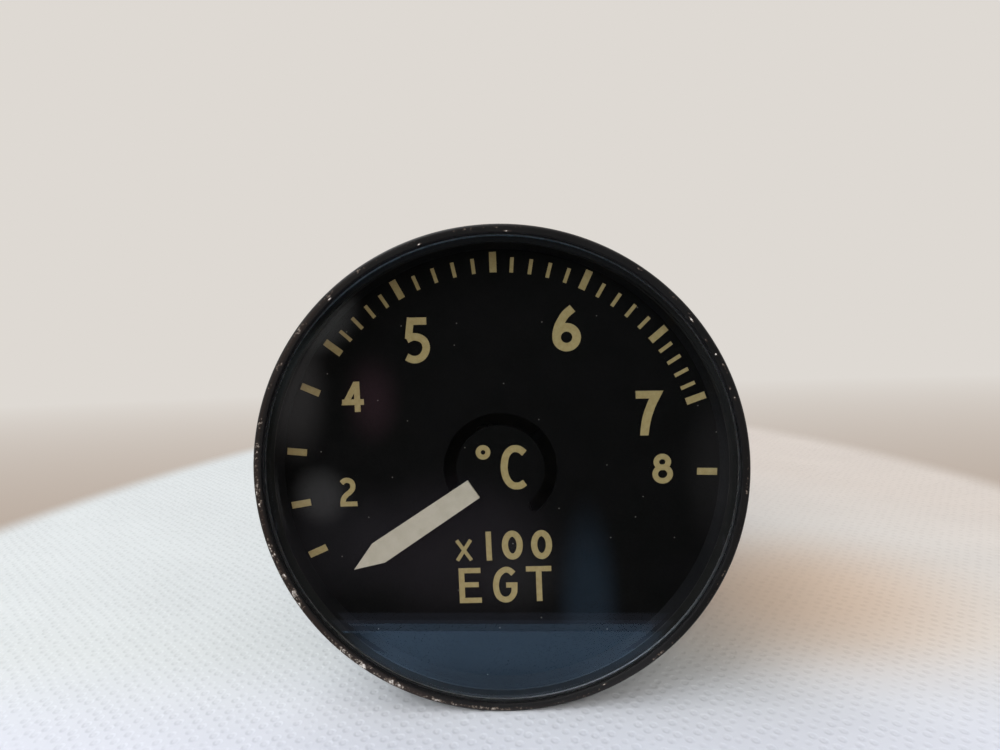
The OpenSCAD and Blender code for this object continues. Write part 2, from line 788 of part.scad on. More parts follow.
// Lock nut of the rear jewel screw
module rear_jewel_nut() {
    color("#b08d4c") upright() translate([0, 0, z_rear_plate_back - jewel_nut_t]) difference() {
        cylinder(r = 2 * jewel_r + 0.2, h = jewel_nut_t, $fn = 6);
        disc(jewel_r + thread_gap, -cut, jewel_nut_t + cut);
    }
}

// Front plate of the movement, resting on the case lugs
module front_plate() {
    z0 = z_plate_back;
    z1 = z_plate;
    color("#211f1c") upright() difference() {
        disc(plate_r, z0, z1);
        disc(plate_hole_r, z0 - cut, z1 + cut);
        bridge_screw_places() disc(bridge_screw_r + thread_gap, z0 + 0.1, z1 + cut);
        for (a = pillar_angles) at(pillar_at, a) disc(stem_r + thread_gap, z0 - cut, z1 + cut);
        for (a = lug_angles)
            at(lug_screw_at, a) disc(lug_screw_r + thread_gap, z0 - cut, z1 + cut);
    }
}

// Pins that stop the tail at each end of the sweep
module stop_pins() {
    color("#8d8f92") upright() for (a = stop_angles)
        at(stop_at, a) disc(stop_r, z_plate, z_crank + 0.3);
}

// Feet between the dial and the front plate
module dial_feet() {
    color("#b9a15c") upright() for (a = foot_angles)
        at(dial_foot_at, a) disc(dial_foot_r, z_plate, z_dial_back);
}

// Soft iron ring inside the coil, slotted so that the coil can be threaded on
module core_ring() {
    half = core_slot_span_angle / 2;
    color("#6c6f73") upright() difference() {
        ring(core_r_in, core_r, z_iron_back, z_iron);
        wedge(core_r, core_slot_angle - half, core_slot_angle + half, z_iron_back - cut, z_iron + cut);
        bracket_screw_places(bracket_screw_rows[0])
            disc(bracket_screw_r + thread_gap, z_iron_back - cut, z_iron + cut);
    }
}

// Soft iron ring outside the coil, with the pocket for the magnet
module pole_ring() {
    half = magnet_span_angle / 2;
    color("#6c6f73") upright() difference() {
        ring(pole_in_r, pole_r, z_iron_back, z_iron);
        arc_block(core_r, magnet_r, magnet_angle - half, magnet_angle + half, z_iron_back - cut,
                  z_iron + cut);
        for (a = pillar_angles)
            at(pillar_at, a) disc(stem_r + thread_gap, z_iron_back - cut, z_iron + cut);
        bracket_screw_places(bracket_screw_rows[1])
            disc(bracket_screw_r + thread_gap, z_iron_back - cut, z_iron + cut);
    }
}

// Magnet between the two rings, in the sector that the coil never reaches
module magnet() {
    half = magnet_span_angle / 2 - 0.3;
    color("#4b4d50") upright()
        arc_block(core_r + glue, magnet_r - glue, magnet_angle - half, magnet_angle + half,
                  z_iron_back, z_iron);
}

module bracket_screw_places(r) {
    for (side = [-1, 1]) at(r, magnet_angle + side * bracket_span_angle / 4) children();
}

// Brass plates, front and back, that hold the core ring inside the pole ring
module core_brackets() {
    half = bracket_span_angle / 2;
    color("#b9a15c") upright() for (z = [z_iron, z_iron_back - bracket_t]) difference() {
        arc_block(core_r_in, bracket_screw_rows[1] + bracket_screw_r + bracket_edge + glue * 4,
                  magnet_angle - half, magnet_angle + half, z, z + bracket_t);
        for (r = bracket_screw_rows) bracket_screw_places(r)
            disc(bracket_screw_r + thread_gap, z - cut, z + bracket_t + cut);
    }
}

module bracket_screws() {
    head = 0.7;
    color("#8d8f92") upright() for (r = bracket_screw_rows) {
        bracket_screw_places(r) translate([0, 0, z_iron + bracket_t])
            cheese_screw(bracket_screw_r, bracket_t + iron_l / 3, bracket_screw_head_r, head);
        bracket_screw_places(r) translate([0, 0, z_iron_back - bracket_t]) mirror([0, 0, 1])
            cheese_screw(bracket_screw_r, bracket_t + iron_l / 3, bracket_screw_head_r, head);
    }
}

// Pillars that carry the pole ring: riveted in the front plate, threaded behind the rear plate
module yoke_pillars() {
    color("#b9a15c") upright() for (a = pillar_angles) at(pillar_at, a) {
        disc(pillar_r, z_iron, z_plate_back);
        disc(stem_r, z_rear_plate_back - plate_t, z_plate);
    }
}

module yoke_spacers() {
    color("#b9a15c") upright() for (a = pillar_angles)
        at(pillar_at, a) ring(stem_r + thread_gap, pillar_r, z_rear_plate, z_iron_back);
}

module yoke_nuts() {
    color("#8d8f92") upright() for (a = pillar_angles)
        at(pillar_at, a) translate([0, 0, z_rear_plate_back - yoke_nut_t]) difference() {
            cylinder(r = pillar_r + 0.2, h = yoke_nut_t, $fn = 6);
            disc(stem_r + thread_gap, -cut, yoke_nut_t + cut);
        }
}

// Rear plate, notched so that it passes the case lugs
module rear_plate() {
    z0 = z_rear_plate_back;
    z1 = z_rear_plate;
    half = lug_span_angle / 2 + 3;
    color("#b9a15c") upright() difference() {
        disc(plate_r - fit_gap, z0, z1);
        for (a = lug_angles)
            arc_block(lug_r_in - fit_gap, case_r, a - half, a + half, z0 - cut, z1 + cut);
        disc(jewel_r + thread_gap, z0 - cut, z1 + cut);
        for (a = pillar_angles) at(pillar_at, a) disc(stem_r + thread_gap, z0 - cut, z1 + cut);
        for (a = bobbin_angles)
            at(bobbin_at, a) disc(bobbin_screw_r + thread_gap, z0 - cut, z1 + cut);
        at(compensator_r, zero_angle - compensator_span_angle)
            disc(stem_r / 2 + thread_gap, z0 - cut, z1 + cut);
    }
}

// Screws that hold the front plate down on the case lugs
module movement_screws() {
    color("#8d8f92") upright() for (a = lug_angles)
        at(lug_screw_at, a) translate([0, 0, z_plate])
            cheese_screw(lug_screw_r, plate_t + lug_l * 0.6, lug_screw_head_r, lug_screw_head_t);
}

// Bimetal strip that moves the rear spring's outer end as the case warms, so that the
// reading doesn't follow the temperature of the terminals
module bimetal_compensator() {
    z0 = z_rear_spring - strip_h / 2;
    from = zero_angle - compensator_span_angle;
    color("#7d6b5a") upright() {
        arc_block(compensator_r - 0.2, compensator_r + 0.2, from, zero_angle, z0 - 0.2,
                  z0 + strip_h + 0.2);
        rotate([0, 0, zero_angle]) translate([spring_post_at - spring_post_r, -0.3, z0])
            cube([compensator_r + 0.2 - spring_post_at + spring_post_r, 0.6, strip_h]);
        at(compensator_r, from) disc(stem_r / 2, z_rear_plate_back, z0 + strip_h + 0.2);
    }
}

// Two bobbins that carry the resistance wire
module resistor_bobbins() {
    z1 = z_rear_plate_back;
    color("#6b3f22") upright() for (a = bobbin_angles) at(bobbin_at, a) difference() {
        union() {
            disc(bobbin_r, z1 - bobbin_flange_t, z1);
            disc(bobbin_core_r, z_bobbin_back, z1);
            disc(bobbin_r, z_bobbin_back, z_bobbin_back + bobbin_flange_t);
        }
        disc(bobbin_screw_r + thread_gap, z_bobbin_back - cut, z1 + cut);
    }
}

module resistor_windings() {
    color("#5c3a1c") upright() for (a = bobbin_angles) at(bobbin_at, a)
        ring(bobbin_core_r, bobbin_core_r + wire_depth, z_bobbin_back + bobbin_flange_t,
             z_rear_plate_back - bobbin_flange_t);
}

module bobbin_screws() {
    color("#8d8f92") upright() for (a = bobbin_angles)
        at(bobbin_at, a) translate([0, 0, z_bobbin_back]) mirror([0, 0, 1])
            cheese_screw(bobbin_screw_r, bobbin_l + plate_t * 0.8, bobbin_screw_head_r,
                         bobbin_screw_head_t);
}

// Thin walled case: tube, front flange, three lugs inside and four bosses at the back
module case_barrel() {
    half = lug_span_angle / 2;
    color("#23252a") upright() difference() {
        union() {
            ring(case_in_r, case_r, z_case_end, 0);
            ring(case_in_r, case_r - neck_step, z_case_end, z_dial_back);
            ring(case_in_r, stack_r, z_flange, z_dial_back);
            for (a = lug_angles)
                arc_block(lug_r_in, case_r - case_wall / 2, a - half, a + half,
                          z_plate_back - lug_l, z_plate_back);
            for (a = boss_angles) intersection() {
                at(boss_at, a) disc(boss_r, z_case_end, z_case_end + boss_l);
                disc(case_r - case_wall / 2, z_case_end, z_case_end + boss_l);
            }
        }
        for (a = lug_angles) at(lug_screw_at, a)
            disc(lug_screw_r + thread_gap, z_plate_back - lug_l * 0.8, z_plate_back + cut);
        for (a = boss_angles) at(boss_at, a)
            disc(cover_screw_r + thread_gap, z_case_end - cut, z_case_end + boss_l * 0.8);
    }
}

// Gasket between case and cover, cut round the screws
module rear_gasket() {
    color("#2a2a2a") upright() difference() {
        ring(spigot_r + fit_gap, case_r - 0.2, z_cover, z_case_end);
        for (a = boss_angles) at(boss_at, a)
            disc(cover_screw_r + 2 * thread_gap, z_cover - cut, z_case_end + cut);
    }
}

// Rear cover: spigot that enters between the bosses, chamfered rim, terminal holes
module rear_cover() {
    chamfer = cover_t / 4;
    color("#23252a") upright() difference() {
        rotate_extrude() polygon([
            [0, z_cover_back], [case_r - chamfer, z_cover_back],
            [case_r, z_cover_back + chamfer], [case_r, z_cover], [spigot_r, z_cover],
            [spigot_r, z_case_end + spigot_h], [spigot_r - cover_t / 2, z_case_end + spigot_h],
            [spigot_r - cover_t / 2, z_cover], [0, z_cover]]);
        for (a = boss_angles) at(boss_at, a)
            disc(cover_screw_r + thread_gap, z_cover_back - cut, z_cover + cut);
        for (s = studs) translate([s[0] * stud_at, 0, 0])
            disc(s[1] + bush_wall + fit_gap, z_cover_back - cut, z_cover + cut);
        block_screw_places()
            disc(block_screw_r + thread_gap, z_cover_back - cut, z_cover + cut);
    }
}

module cover_screws() {
    color("#3a3a3a") upright() for (a = boss_angles) at(boss_at, a)
        translate([0, 0, z_cover_back]) mirror([0, 0, 1])
            cheese_screw(cover_screw_r, cover_t + gasket_t + boss_l * 0.6, cover_screw_head_r,
                         cover_screw_head_t);
}

module block_screw_places() {
    for (side = [-1, 1]) translate([side * block_screw_at, 0, 0]) children();
}

// Moulded block with round ends, a well for each stud and a barrier between them
module terminal_block() {
    z0 = z_block_back;
    z1 = z_cover_back;
    end_r = block_w / 2;
    straight = block_l / 2 - end_r;
    color("#2b1712") upright() difference() {
        union() {
            translate([-straight, -end_r, z0]) cube([2 * straight, block_w, block_t]);
            for (side = [-1, 1]) translate([side * straight, 0, 0]) disc(end_r, z0, z1);
            translate([-barrier_t / 2, -end_r, z0 - barrier_h])
                cube([barrier_t, block_w, barrier_h + cut]);
            for (side = [-1, 1]) intersection() {
                translate([0, side * end_r, z0 - barrier_h])
                    disc(barrier_flare, 0, barrier_h + cut);
                translate([-block_l / 2, -end_r, z0 - barrier_h])
                    cube([block_l, block_w, barrier_h + cut]);
            }
        }
        for (s = studs) translate([s[0] * stud_at, 0, 0])
            disc(s[1] + thread_gap, z0 - cut, z1 + cut);
        block_screw_places() {
            disc(block_screw_r + thread_gap, z0 - cut, z1 + cut);
            disc(block_screw_head_r + fit_gap, z0 - cut, z0 + block_t / 3);
        }
    }
}

module block_screws() {
    color("#8d8f92") upright() block_screw_places()
        translate([0, 0, z_block_back + block_t / 3]) mirror([0, 0, 1])
            cheese_screw(block_screw_r, block_t * 2 / 3 + cover_t, block_screw_head_r,
                         block_screw_head_t);
}

// One terminal: collar on the block, threaded part under the nut, plain end, inner thread
module stud(s) {
    r = s[1];
    z_collar = z_block_back - stud_collar_t;
    z_thread = z_block_back - stud_l + stud_end_l;
    translate([s[0] * stud_at, 0, 0]) {
        disc(r + 1.3, z_collar, z_block_back);
        disc(r, z_thread, z_stud_inner);
        disc(r - stud_step, z_block_back - stud_l, z_thread + cut / 5);
    }
}

module positive_stud() { color("#a58a5a") upright() stud(studs[0]); }

module negative_stud() { color("#8f9092") upright() stud(studs[1]); }

// Insulating bushes between the studs and the metal cover
module stud_bushes() {
    color("#b9a27a") upright() for (s = studs)
        translate([s[0] * stud_at, 0, 0]) {
            ring(s[1] + thread_gap, s[1] + bush_wall, z_cover_back, z_cover + cut / 5);
            ring(s[1] + thread_gap, s[1] + 2 * bush_wall, z_cover, z_tag);
        }
}

module terminal_washers() {
    z1 = z_block_back - stud_collar_t;
    color("#9a9ca0") upright() for (s = studs) translate([s[0] * stud_at, 0, 0])
        ring(s[1] + thread_gap, s[1] + 2, z1 - washer_t, z1);
}

module terminal_nuts() {
    z1 = z_block_back - stud_collar_t - washer_t;
    color("#a8935f") upright() for (s = studs)
        translate([s[0] * stud_at, 0, z1 - nut_t]) difference() {
            cylinder(r = s[1] + 1.9, h = nut_t, $fn = 6);
            disc(s[1] + thread_gap, -cut, nut_t + cut);
        }
}

module inner_nuts() {
    color("#a8935f") upright() for (s = studs)
        translate([s[0] * stud_at, 0, z_tag + tag_t]) difference() {
            cylinder(r = s[1] + 1.9, h = inner_nut_t, $fn = 6);
            disc(s[1] + thread_gap, -cut, inner_nut_t + cut);
        }
}

// Tags under the inner nuts, to which the leads are soldered
module solder_tags() {
    color("#c0b58a") upright() for (s = studs)
        translate([s[0] * stud_at, 0, 0]) difference() {
            union() {
                disc(s[1] + 1.8, z_tag, z_tag + tag_t);
                translate([-1, 0, z_tag]) cube([2, tag_l, tag_t]);
            }
            disc(s[1] + thread_gap, z_tag - cut, z_tag + tag_t + cut);
        }
}

module positive_lead() {
    r = bobbin_at - bobbin_r + 1;
    color("#7a1f1b") upright()
        lead([-stud_at, tag_l - 1, z_tag + tag_t],
             [r * cos(bobbin_angles[1]), r * sin(bobbin_angles[1]), z_bobbin_back]);
}

module negative_lead() {
    color("#2f3d57") upright()
        lead([stud_at, tag_l - 1, z_tag + tag_t], [pole_r * 0.8, 0, z_rear_plate_back]);
}

bezel();
glass();
glazing_bead();
glass_seal();
dial_mask();
dial_plate();
scale_marks();
pointer();
pointer_crank();
trim_weights();
staff();
coil_former();
coil_winding();
coil_carrier();
counterweight();
spring_collets();
front_hairspring();
rear_hairspring();
zero_arm();
front_bridge();
bridge_screws();
front_jewel_screw();
rear_jewel_screw();
rear_jewel_nut();
front_plate();
stop_pins();
dial_feet();
core_ring();
pole_ring();
magnet();
core_brackets();
bracket_screws();
yoke_pillars();
yoke_spacers();
yoke_nuts();
rear_plate();
movement_screws();
bimetal_compensator();
resistor_bobbins();
resistor_windings();
bobbin_screws();
positive_lead();
negative_lead();
case_barrel();
rear_gasket();
rear_cover();
cover_screws();
terminal_block();
block_screws();
positive_stud();
negative_stud();
stud_bushes();
terminal_washers();
terminal_nuts();
inner_nuts();
solder_tags();
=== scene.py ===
# %% [markdown]
# # A cockpit gauge for exhaust gas temperature
# The gauge stands on its rim on a pale cloth and is seen from very near: a black painted ring, a
# bevelled window, a black dial with khaki marks, and a pale flat pointer that comes up through a
# C shaped slot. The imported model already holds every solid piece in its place. This notebook adds
# what solids leave out: numerals, chipped paint, ground glass, screw threads and real finishes.

# %% Load the fixed model
import math

import bpy
import numpy as np
from mathutils import Matrix, Vector
from mathutils.geometry import delaunay_2d_cdt


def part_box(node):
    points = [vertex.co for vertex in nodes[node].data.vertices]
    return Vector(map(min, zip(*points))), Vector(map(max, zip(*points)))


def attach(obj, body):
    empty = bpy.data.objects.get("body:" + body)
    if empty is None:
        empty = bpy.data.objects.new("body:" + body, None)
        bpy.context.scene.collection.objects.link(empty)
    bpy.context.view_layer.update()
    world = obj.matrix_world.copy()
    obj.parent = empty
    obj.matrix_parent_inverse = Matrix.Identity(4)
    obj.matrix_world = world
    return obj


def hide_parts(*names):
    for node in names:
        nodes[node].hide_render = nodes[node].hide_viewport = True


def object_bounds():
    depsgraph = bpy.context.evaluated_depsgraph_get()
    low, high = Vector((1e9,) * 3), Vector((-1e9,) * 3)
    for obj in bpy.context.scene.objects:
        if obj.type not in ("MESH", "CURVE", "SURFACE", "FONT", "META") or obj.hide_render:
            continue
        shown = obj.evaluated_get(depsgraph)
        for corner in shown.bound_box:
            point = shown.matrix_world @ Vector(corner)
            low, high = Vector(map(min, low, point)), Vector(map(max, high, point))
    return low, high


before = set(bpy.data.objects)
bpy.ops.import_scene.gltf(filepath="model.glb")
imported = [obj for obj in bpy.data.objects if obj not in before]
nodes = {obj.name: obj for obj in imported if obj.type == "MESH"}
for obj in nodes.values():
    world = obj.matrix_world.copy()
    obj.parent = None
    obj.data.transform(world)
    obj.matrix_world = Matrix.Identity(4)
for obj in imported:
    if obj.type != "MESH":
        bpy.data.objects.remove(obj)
cad_low, cad_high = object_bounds()
MM = 0.001


def box_mm(name):
    """Lowest and highest corner of a node, in millimetres."""
    return [np.array(corner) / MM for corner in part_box(name)]


def into_scene(name, data):
    """An object of this data in the scene, where the frame's own pieces are."""
    thing = bpy.data.objects.new(name, data)
    bpy.context.scene.collection.objects.link(thing)
    return thing


print("the model has", len(nodes), "solid pieces, in mm:",
      [round(v / MM, 1) for v in cad_high - cad_low])

# %% [markdown]
# ## The eye
# The picture was taken about 83 mm in front of the glass and a little above the middle, so the
# ring and the scale behind it don't share a centre. A camera was fitted to both outlines. It could
# be aimed with a constraint, but three axes worked out one by one also hold its slight roll.

# %% Place the camera
camera_data = bpy.data.cameras.new("eye")
camera_data.sensor_width = 36
camera_data.lens = 26.63
camera_data.clip_start = 1 * MM
camera_data.clip_end = 20
camera = into_scene("eye", camera_data)
eye_place = Vector((3.481, -89.281, 20.878)) * MM
eye_target = Vector((0.51, -6.5, 11.759)) * MM
eye_roll = math.radians(-2.072)
look = (eye_target - eye_place).normalized()
level = look.cross(Vector((0, 0, 1))).normalized()
upward = level.cross(look)
right = math.cos(eye_roll) * level + math.sin(eye_roll) * upward
top = math.cos(eye_roll) * upward - math.sin(eye_roll) * level
camera.matrix_world = Matrix.Translation(eye_place) @ Matrix((right, top, -look)).transposed().to_4x4()
bpy.context.scene.camera = camera
print("eye at", [round(v / MM, 1) for v in eye_place], "mm, lens", round(camera_data.lens, 2), "mm")

# %% [markdown]
# ## From arrays to a mesh
# Every new piece is worked out as arrays of points in millimetres and given to Blender whole, where
# modelling by hand would leave its sizes behind. One function makes the mesh, turns it outwards if
# its signed volume is negative, keeps its edges crisp and counts what is still open.

# %% Make a piece from arrays
def quads(rows, columns, close_rows=False):
    """Four-sided faces between the neighbours of a grid numbered row by row. Its rows are closed
    rings, and close_rows joins the last row to the first."""
    r = np.arange(rows if close_rows else rows - 1)[:, None]
    c = np.arange(columns)[None, :]
    below = (r + 1) % rows
    beside = (c + 1) % columns
    corners = [r * columns + c, below * columns + c, below * columns + beside, r * columns + beside]
    return np.stack([k + 0 * r + 0 * c for k in corners], -1).reshape(-1, 4)


def signed_volume(points, faces):
    """A sixth of the sum of the boxes that the origin spans with each triangle of each face."""
    total = 0.0
    for face_set in faces:
        first, *others = (points[column] for column in face_set.T)
        for second, third in zip(others, others[1:]):
            total += (first * np.cross(second, third)).sum() / 6
    return total


def open_sides(faces):
    """How many sides of faces have no neighbour that walks the same side the other way."""
    sides = {side for face in faces for side in zip(face, face[1:] + face[:1])}
    return sum((end, start) not in sides for start, end in sides)


def make_piece(name, points, faces, body, stands_for=(), crisp=35, values=None):
    """One closed piece from points in millimetres and sets of faces, riding on a body. values are
    named numbers, one to a point, that its finish can read."""
    points = np.asarray(points, float)
    if signed_volume(points, faces) < 0:
        faces = [face_set[:, ::-1] for face_set in faces]
    mesh = bpy.data.meshes.new(name)
    listed = [row for face_set in faces for row in face_set.tolist()]
    mesh.from_pydata((points * MM).tolist(), [], listed)
    mesh.polygons.foreach_set("use_smooth", np.ones(len(listed), bool))
    mesh.set_sharp_from_angle(angle=math.radians(crisp))
    for key, numbers in (values or {}).items():
        layer = mesh.attributes.new(key, "FLOAT", "POINT")
        layer.data.foreach_set("value", np.asarray(numbers, np.float32))
    piece = into_scene(name, mesh)
    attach(piece, body)
    if stands_for:
        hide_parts(*stands_for)
    print(name, "has", len(points), "points,", len(listed), "faces and", open_sides(listed),
          "open sides")


# %% [markdown]
# ## Turning
# Most of the gauge was turned on a lathe, and so is most of what is added: a section is carried
# round the Y axis. A modifier could spin it, but plain arrays leave each point's place in the
# section at hand, and the wear needs that.

# %% Turn a section
def full_turn(steps):
    """Angles all round, the first not repeated."""
    return np.linspace(0, 2 * np.pi, steps, endpoint=False)


def turned(profile, around, x=0.0):
    """Points of a shape turned on a lathe whose spindle lies along Y at x. The profile is rows of
    (radius, y), and each is carried round: x + r cos a, y, r sin a."""
    angle = full_turn(around)
    r, y = np.asarray(profile, float)[:, :, None].swapaxes(0, 1)
    return np.stack([x + r * np.cos(angle), y + 0 * angle, r * np.sin(angle)], -1)


def closed_ends(rows, around):
    """Faces of a turned solid: quads between its rows, and a fan from one point to each end row.
    Those two points are numbered after the grid."""
    step = np.arange(around)
    beside = (step + 1) % around
    last = (rows - 1) * around
    return [quads(rows, around), np.stack([0 * step + rows * around, step, beside], -1),
            np.stack([0 * step + rows * around + 1, last + beside, last + step], -1)]


def rounded(corner, start_deg, end_deg, radius, steps):
    """Points of a quarter round of a profile about its centre: (r + R cos t, y + R sin t)."""
    t = np.radians(np.linspace(start_deg, end_deg, steps))
    return np.stack([corner[0] + radius * np.cos(t), corner[1] + radius * np.sin(t)], -1)


# %% [markdown]
# ## The bezel
# The bezel is a turned aluminium ring with a lip behind and a rounded front edge, and years of
# handling have knocked its stoved paint off that edge, most of all at the lower left. The chips
# could be modelled one by one, but paint is only a few hundredths thick: a fine lathe profile
# carries a number that says how worn each place is, and the finish breaks the paint by it.

# %% Turn the bezel
bezel_low, bezel_high = box_mm("bezel")
RIM_R = bezel_high[0]
FRONT_Y = bezel_low[1]
LIP_R = 25.55
BORE_R = 27.6
LIP_Y = -0.7
EDGE_R = 0.4


def ring_profile():
    """The bezel's section as a closed run of (radius, y): lip, back face, wall, rounded front
    edge, and a small chamfer into the bore. Runs are cut fine where the light catches them."""
    back = np.array([[LIP_R, LIP_Y], [LIP_R, 0.0], [LIP_R + 1.2, 0.0], [RIM_R - 0.3, 0.0],
                     [RIM_R - 0.1, 0.0], [RIM_R, 0.0]])
    wall = np.stack([np.full(9, RIM_R), np.linspace(-0.6, FRONT_Y + EDGE_R + 0.1, 9)], -1)
    edge = rounded((RIM_R - EDGE_R, FRONT_Y + EDGE_R), 0, -90, EDGE_R, 13)
    face = np.stack([np.linspace(RIM_R - EDGE_R - 0.06, BORE_R + 0.2, 5), np.full(5, FRONT_Y)], -1)
    lip = rounded((BORE_R + 0.16, FRONT_Y + 0.16), -90, -180, 0.16, 4)
    bore = np.array([[BORE_R, FRONT_Y + 1.2], [BORE_R, LIP_Y]])
    return np.concatenate([back, wall, edge, face, lip, bore])


print("bezel", round(2 * RIM_R, 2), "mm across, section of", len(ring_profile()), "points")

# %% [markdown]
# ## Where its paint is worn
# The wear is one number for each point of the ring. It could be painted on by hand, but a list of
# amounts round the ring and of single chips on its inner lip can be corrected. Both fall off as a
# bell curve, exp(-(distance / width) ** 2), so the number has no steps.

# %% Wear the bezel
# Angles from +X towards +Z, how much paint is gone there, and how many mm the worn strip is wide
WEAR_AT = np.radians([0, 70, 84, 100, 128, 142, 156, 172, 184, 196, 206, 218, 236, 248, 258, 300,
                      360])
WEAR = [0.46, 0.44, 0.44, 0.48, 0.56, 0.76, 0.64, 0.68, 0.86, 0.78, 0.9, 0.84, 0.96, 0.88, 0.66,
        0.5, 0.46]
WEAR_WIDTH = [0.24, 0.24, 0.26, 0.24, 0.3, 0.42, 0.36, 0.42, 0.56, 0.48, 0.62, 0.56, 0.64, 0.56,
              0.38, 0.26, 0.24]
# Single chips on the inner lip: angle in degrees, distance from the axis and length in mm
LIP_CHIPS = [(17.2, 27.98, 0.8), (19.8, 27.85, 0.5), (28.4, 27.98, 0.35), (32.3, 27.9, 0.6),
             (38.1, 27.95, 1.0), (86.2, 27.8, 1.3), (106.6, 27.8, 0.7), (131.3, 27.85, 0.6),
             (294.5, 27.8, 0.9)]
CHIP_HALF_W = 0.13
CHIP_WEAR = 1.3
# The crest lies this far inside the rim and behind the face, and its wear is flatter than round
CREST_IN, CREST_BACK, CREST_FLAT = 0.42, 0.02, 1.6
profile = ring_profile()
around = 1440
ring_points = turned(profile, around)
angle = full_turn(around)
from_crest = np.hypot(profile[:, 0] - (RIM_R - CREST_IN),
                      CREST_FLAT * (profile[:, 1] - (FRONT_Y + CREST_BACK)))
strip = np.interp(angle, WEAR_AT, WEAR_WIDTH)
edge_wear = (np.exp(-(from_crest[:, None] / strip[None, :]) ** 2)
             * np.interp(angle, WEAR_AT, WEAR)[None, :])
for chip_deg, chip_r, length in LIP_CHIPS:
    turn = np.angle(np.exp(1j * (angle - math.radians(chip_deg)))) * chip_r
    off = np.hypot(profile[:, 0] - chip_r, profile[:, 1] - FRONT_Y)
    chip = np.exp(-(turn[None, :] / (length / 2)) ** 2 - (off[:, None] / CHIP_HALF_W) ** 2)
    edge_wear = np.maximum(edge_wear, CHIP_WEAR * chip)
make_piece("bezel_ring", ring_points.reshape(-1, 3), [quads(len(profile), around, close_rows=True)],
           "root", ["bezel"], crisp=40, values={"wear": edge_wear.ravel()})
print("worn strip from", round(strip.min(), 2), "to", round(strip.max(), 2), "mm wide")

# %% [markdown]
# ## The window
# The window is a flat disc of bloomed glass, 2 mm thick, with a bevel ground round its front edge.
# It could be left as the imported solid, but its refraction shows every facet, so it is turned again
# as one fine solid of real thickness: rays bend in and out of it as they do in the real one.

# %% Turn the window
glass_low, glass_high = box_mm("glass")
GLASS_R = glass_high[0]
BACK_EDGE = 0.2
# The bevel from the rim inwards: how far inside the rim and how far behind the face, in mm
BEVEL = [(0, 0.3), (0.86, 0.02), (0.9, 0)]
window_profile = [(GLASS_R - BACK_EDGE, glass_high[1]), (GLASS_R, glass_high[1] - BACK_EDGE)]
window_profile += [(GLASS_R - inside, glass_low[1] + behind) for inside, behind in BEVEL]
around = 720
window_points = turned(window_profile, around).reshape(-1, 3)
centres = [(0, glass_high[1], 0), (0, glass_low[1], 0)]
make_piece("window", np.concatenate([window_points, centres]),
           closed_ends(len(window_profile), around), "root", ["glass"], crisp=12)

# %% [markdown]
# ## Numerals
# The numerals are screen printed by hand-cut stencils: even strokes with flat ends. A font would
# give somebody else's letters, so each one is drawn as a brush path of a few points, smoothed, and
# widened to the stroke.

# %% Draw a brush stroke
STEPS_A_SPAN = 8


def smooth_path(points):
    """A curve through the points: a Catmull-Rom cubic between each pair, its slope at a point
    being half the step from the point before to the one after."""
    p = np.asarray(points, float)
    p = np.concatenate([[2 * p[0] - p[1]], p, [2 * p[-1] - p[-2]]])
    t = np.linspace(0, 1, STEPS_A_SPAN, endpoint=False)[:, None]
    a, b, c, d = (p[k:len(p) - 3 + k, None, :] for k in range(4))
    curve = 0.5 * (2 * b + (c - a) * t + (2 * a - 5 * b + 4 * c - d) * t ** 2
                   + (3 * b - a - 3 * c + d) * t ** 3)
    return np.concatenate([curve.reshape(-1, 2), p[-2:-1]])


def oval(x, z, half_w, half_h, steps=40):
    """A closed path: x + a cos t, z + b sin t."""
    t = np.linspace(0, 2 * np.pi, steps + 1)
    return np.stack([x + half_w * np.cos(t), z + half_h * np.sin(t)], -1)


def brush(path, width):
    """Quads along a path: each point is moved half the width to its left and to its right, square
    to the step from the point before to the one after. The quads run anticlockwise, because the
    merging below takes a clockwise face for a hole."""
    path = np.asarray(path, float)
    along = np.gradient(path, axis=0)
    if np.allclose(path[0], path[-1]):
        along[0] = along[-1] = path[1] - path[-2]
    along /= np.linalg.norm(along, axis=1)[:, None]
    side = np.stack([-along[:, 1], along[:, 0]], -1) * width / 2
    points = np.concatenate([path + side, path - side])
    n = len(path)
    k = np.arange(n - 1)
    return points, np.stack([n + k, n + k + 1, k + 1, k], -1)


# %% [markdown]
# ## A film of ink
# Strokes overlap, and their faces would lie in each other. A boolean could join them, but a flat
# triangulation of all outlines merges them at once, before the sheet gets its thickness.

# %% Give strokes a thickness
def raised_print(shapes, ground_y, film):
    """Merges flat shapes, each (points, faces) in millimetres, into one sheet of triangles, and
    gives it a front at ground_y - film, a back at ground_y and walls along its free edges."""
    flat, faces, at = [], [], 0
    for points, own_faces in shapes:
        flat += [Vector(p) for p in points]
        faces += [[int(v) + at for v in face] for face in own_faces]
        at += len(points)
    merged, _, triangles, _, _, made_of = delaunay_2d_cdt(flat, [], faces, 1, 1e-5)
    sheet = np.array([v[:] for v in merged])
    tri = np.array([t for t, own in zip(triangles, made_of) if own])
    n = len(sheet)
    points = np.concatenate([np.stack([sheet[:, 0], np.full(n, y), sheet[:, 1]], -1)
                             for y in (ground_y - film, ground_y)])
    sides = np.concatenate([tri[:, [0, 1]], tri[:, [1, 2]], tri[:, [2, 0]]])
    key = sides[:, 0].astype(np.int64) * n + sides[:, 1]
    free = sides[~np.isin(key, sides[:, 1].astype(np.int64) * n + sides[:, 0])]
    walls = np.stack([free[:, 1], free[:, 0], free[:, 0] + n, free[:, 1] + n], -1)
    return points, [tri, tri[:, ::-1] + n, walls]


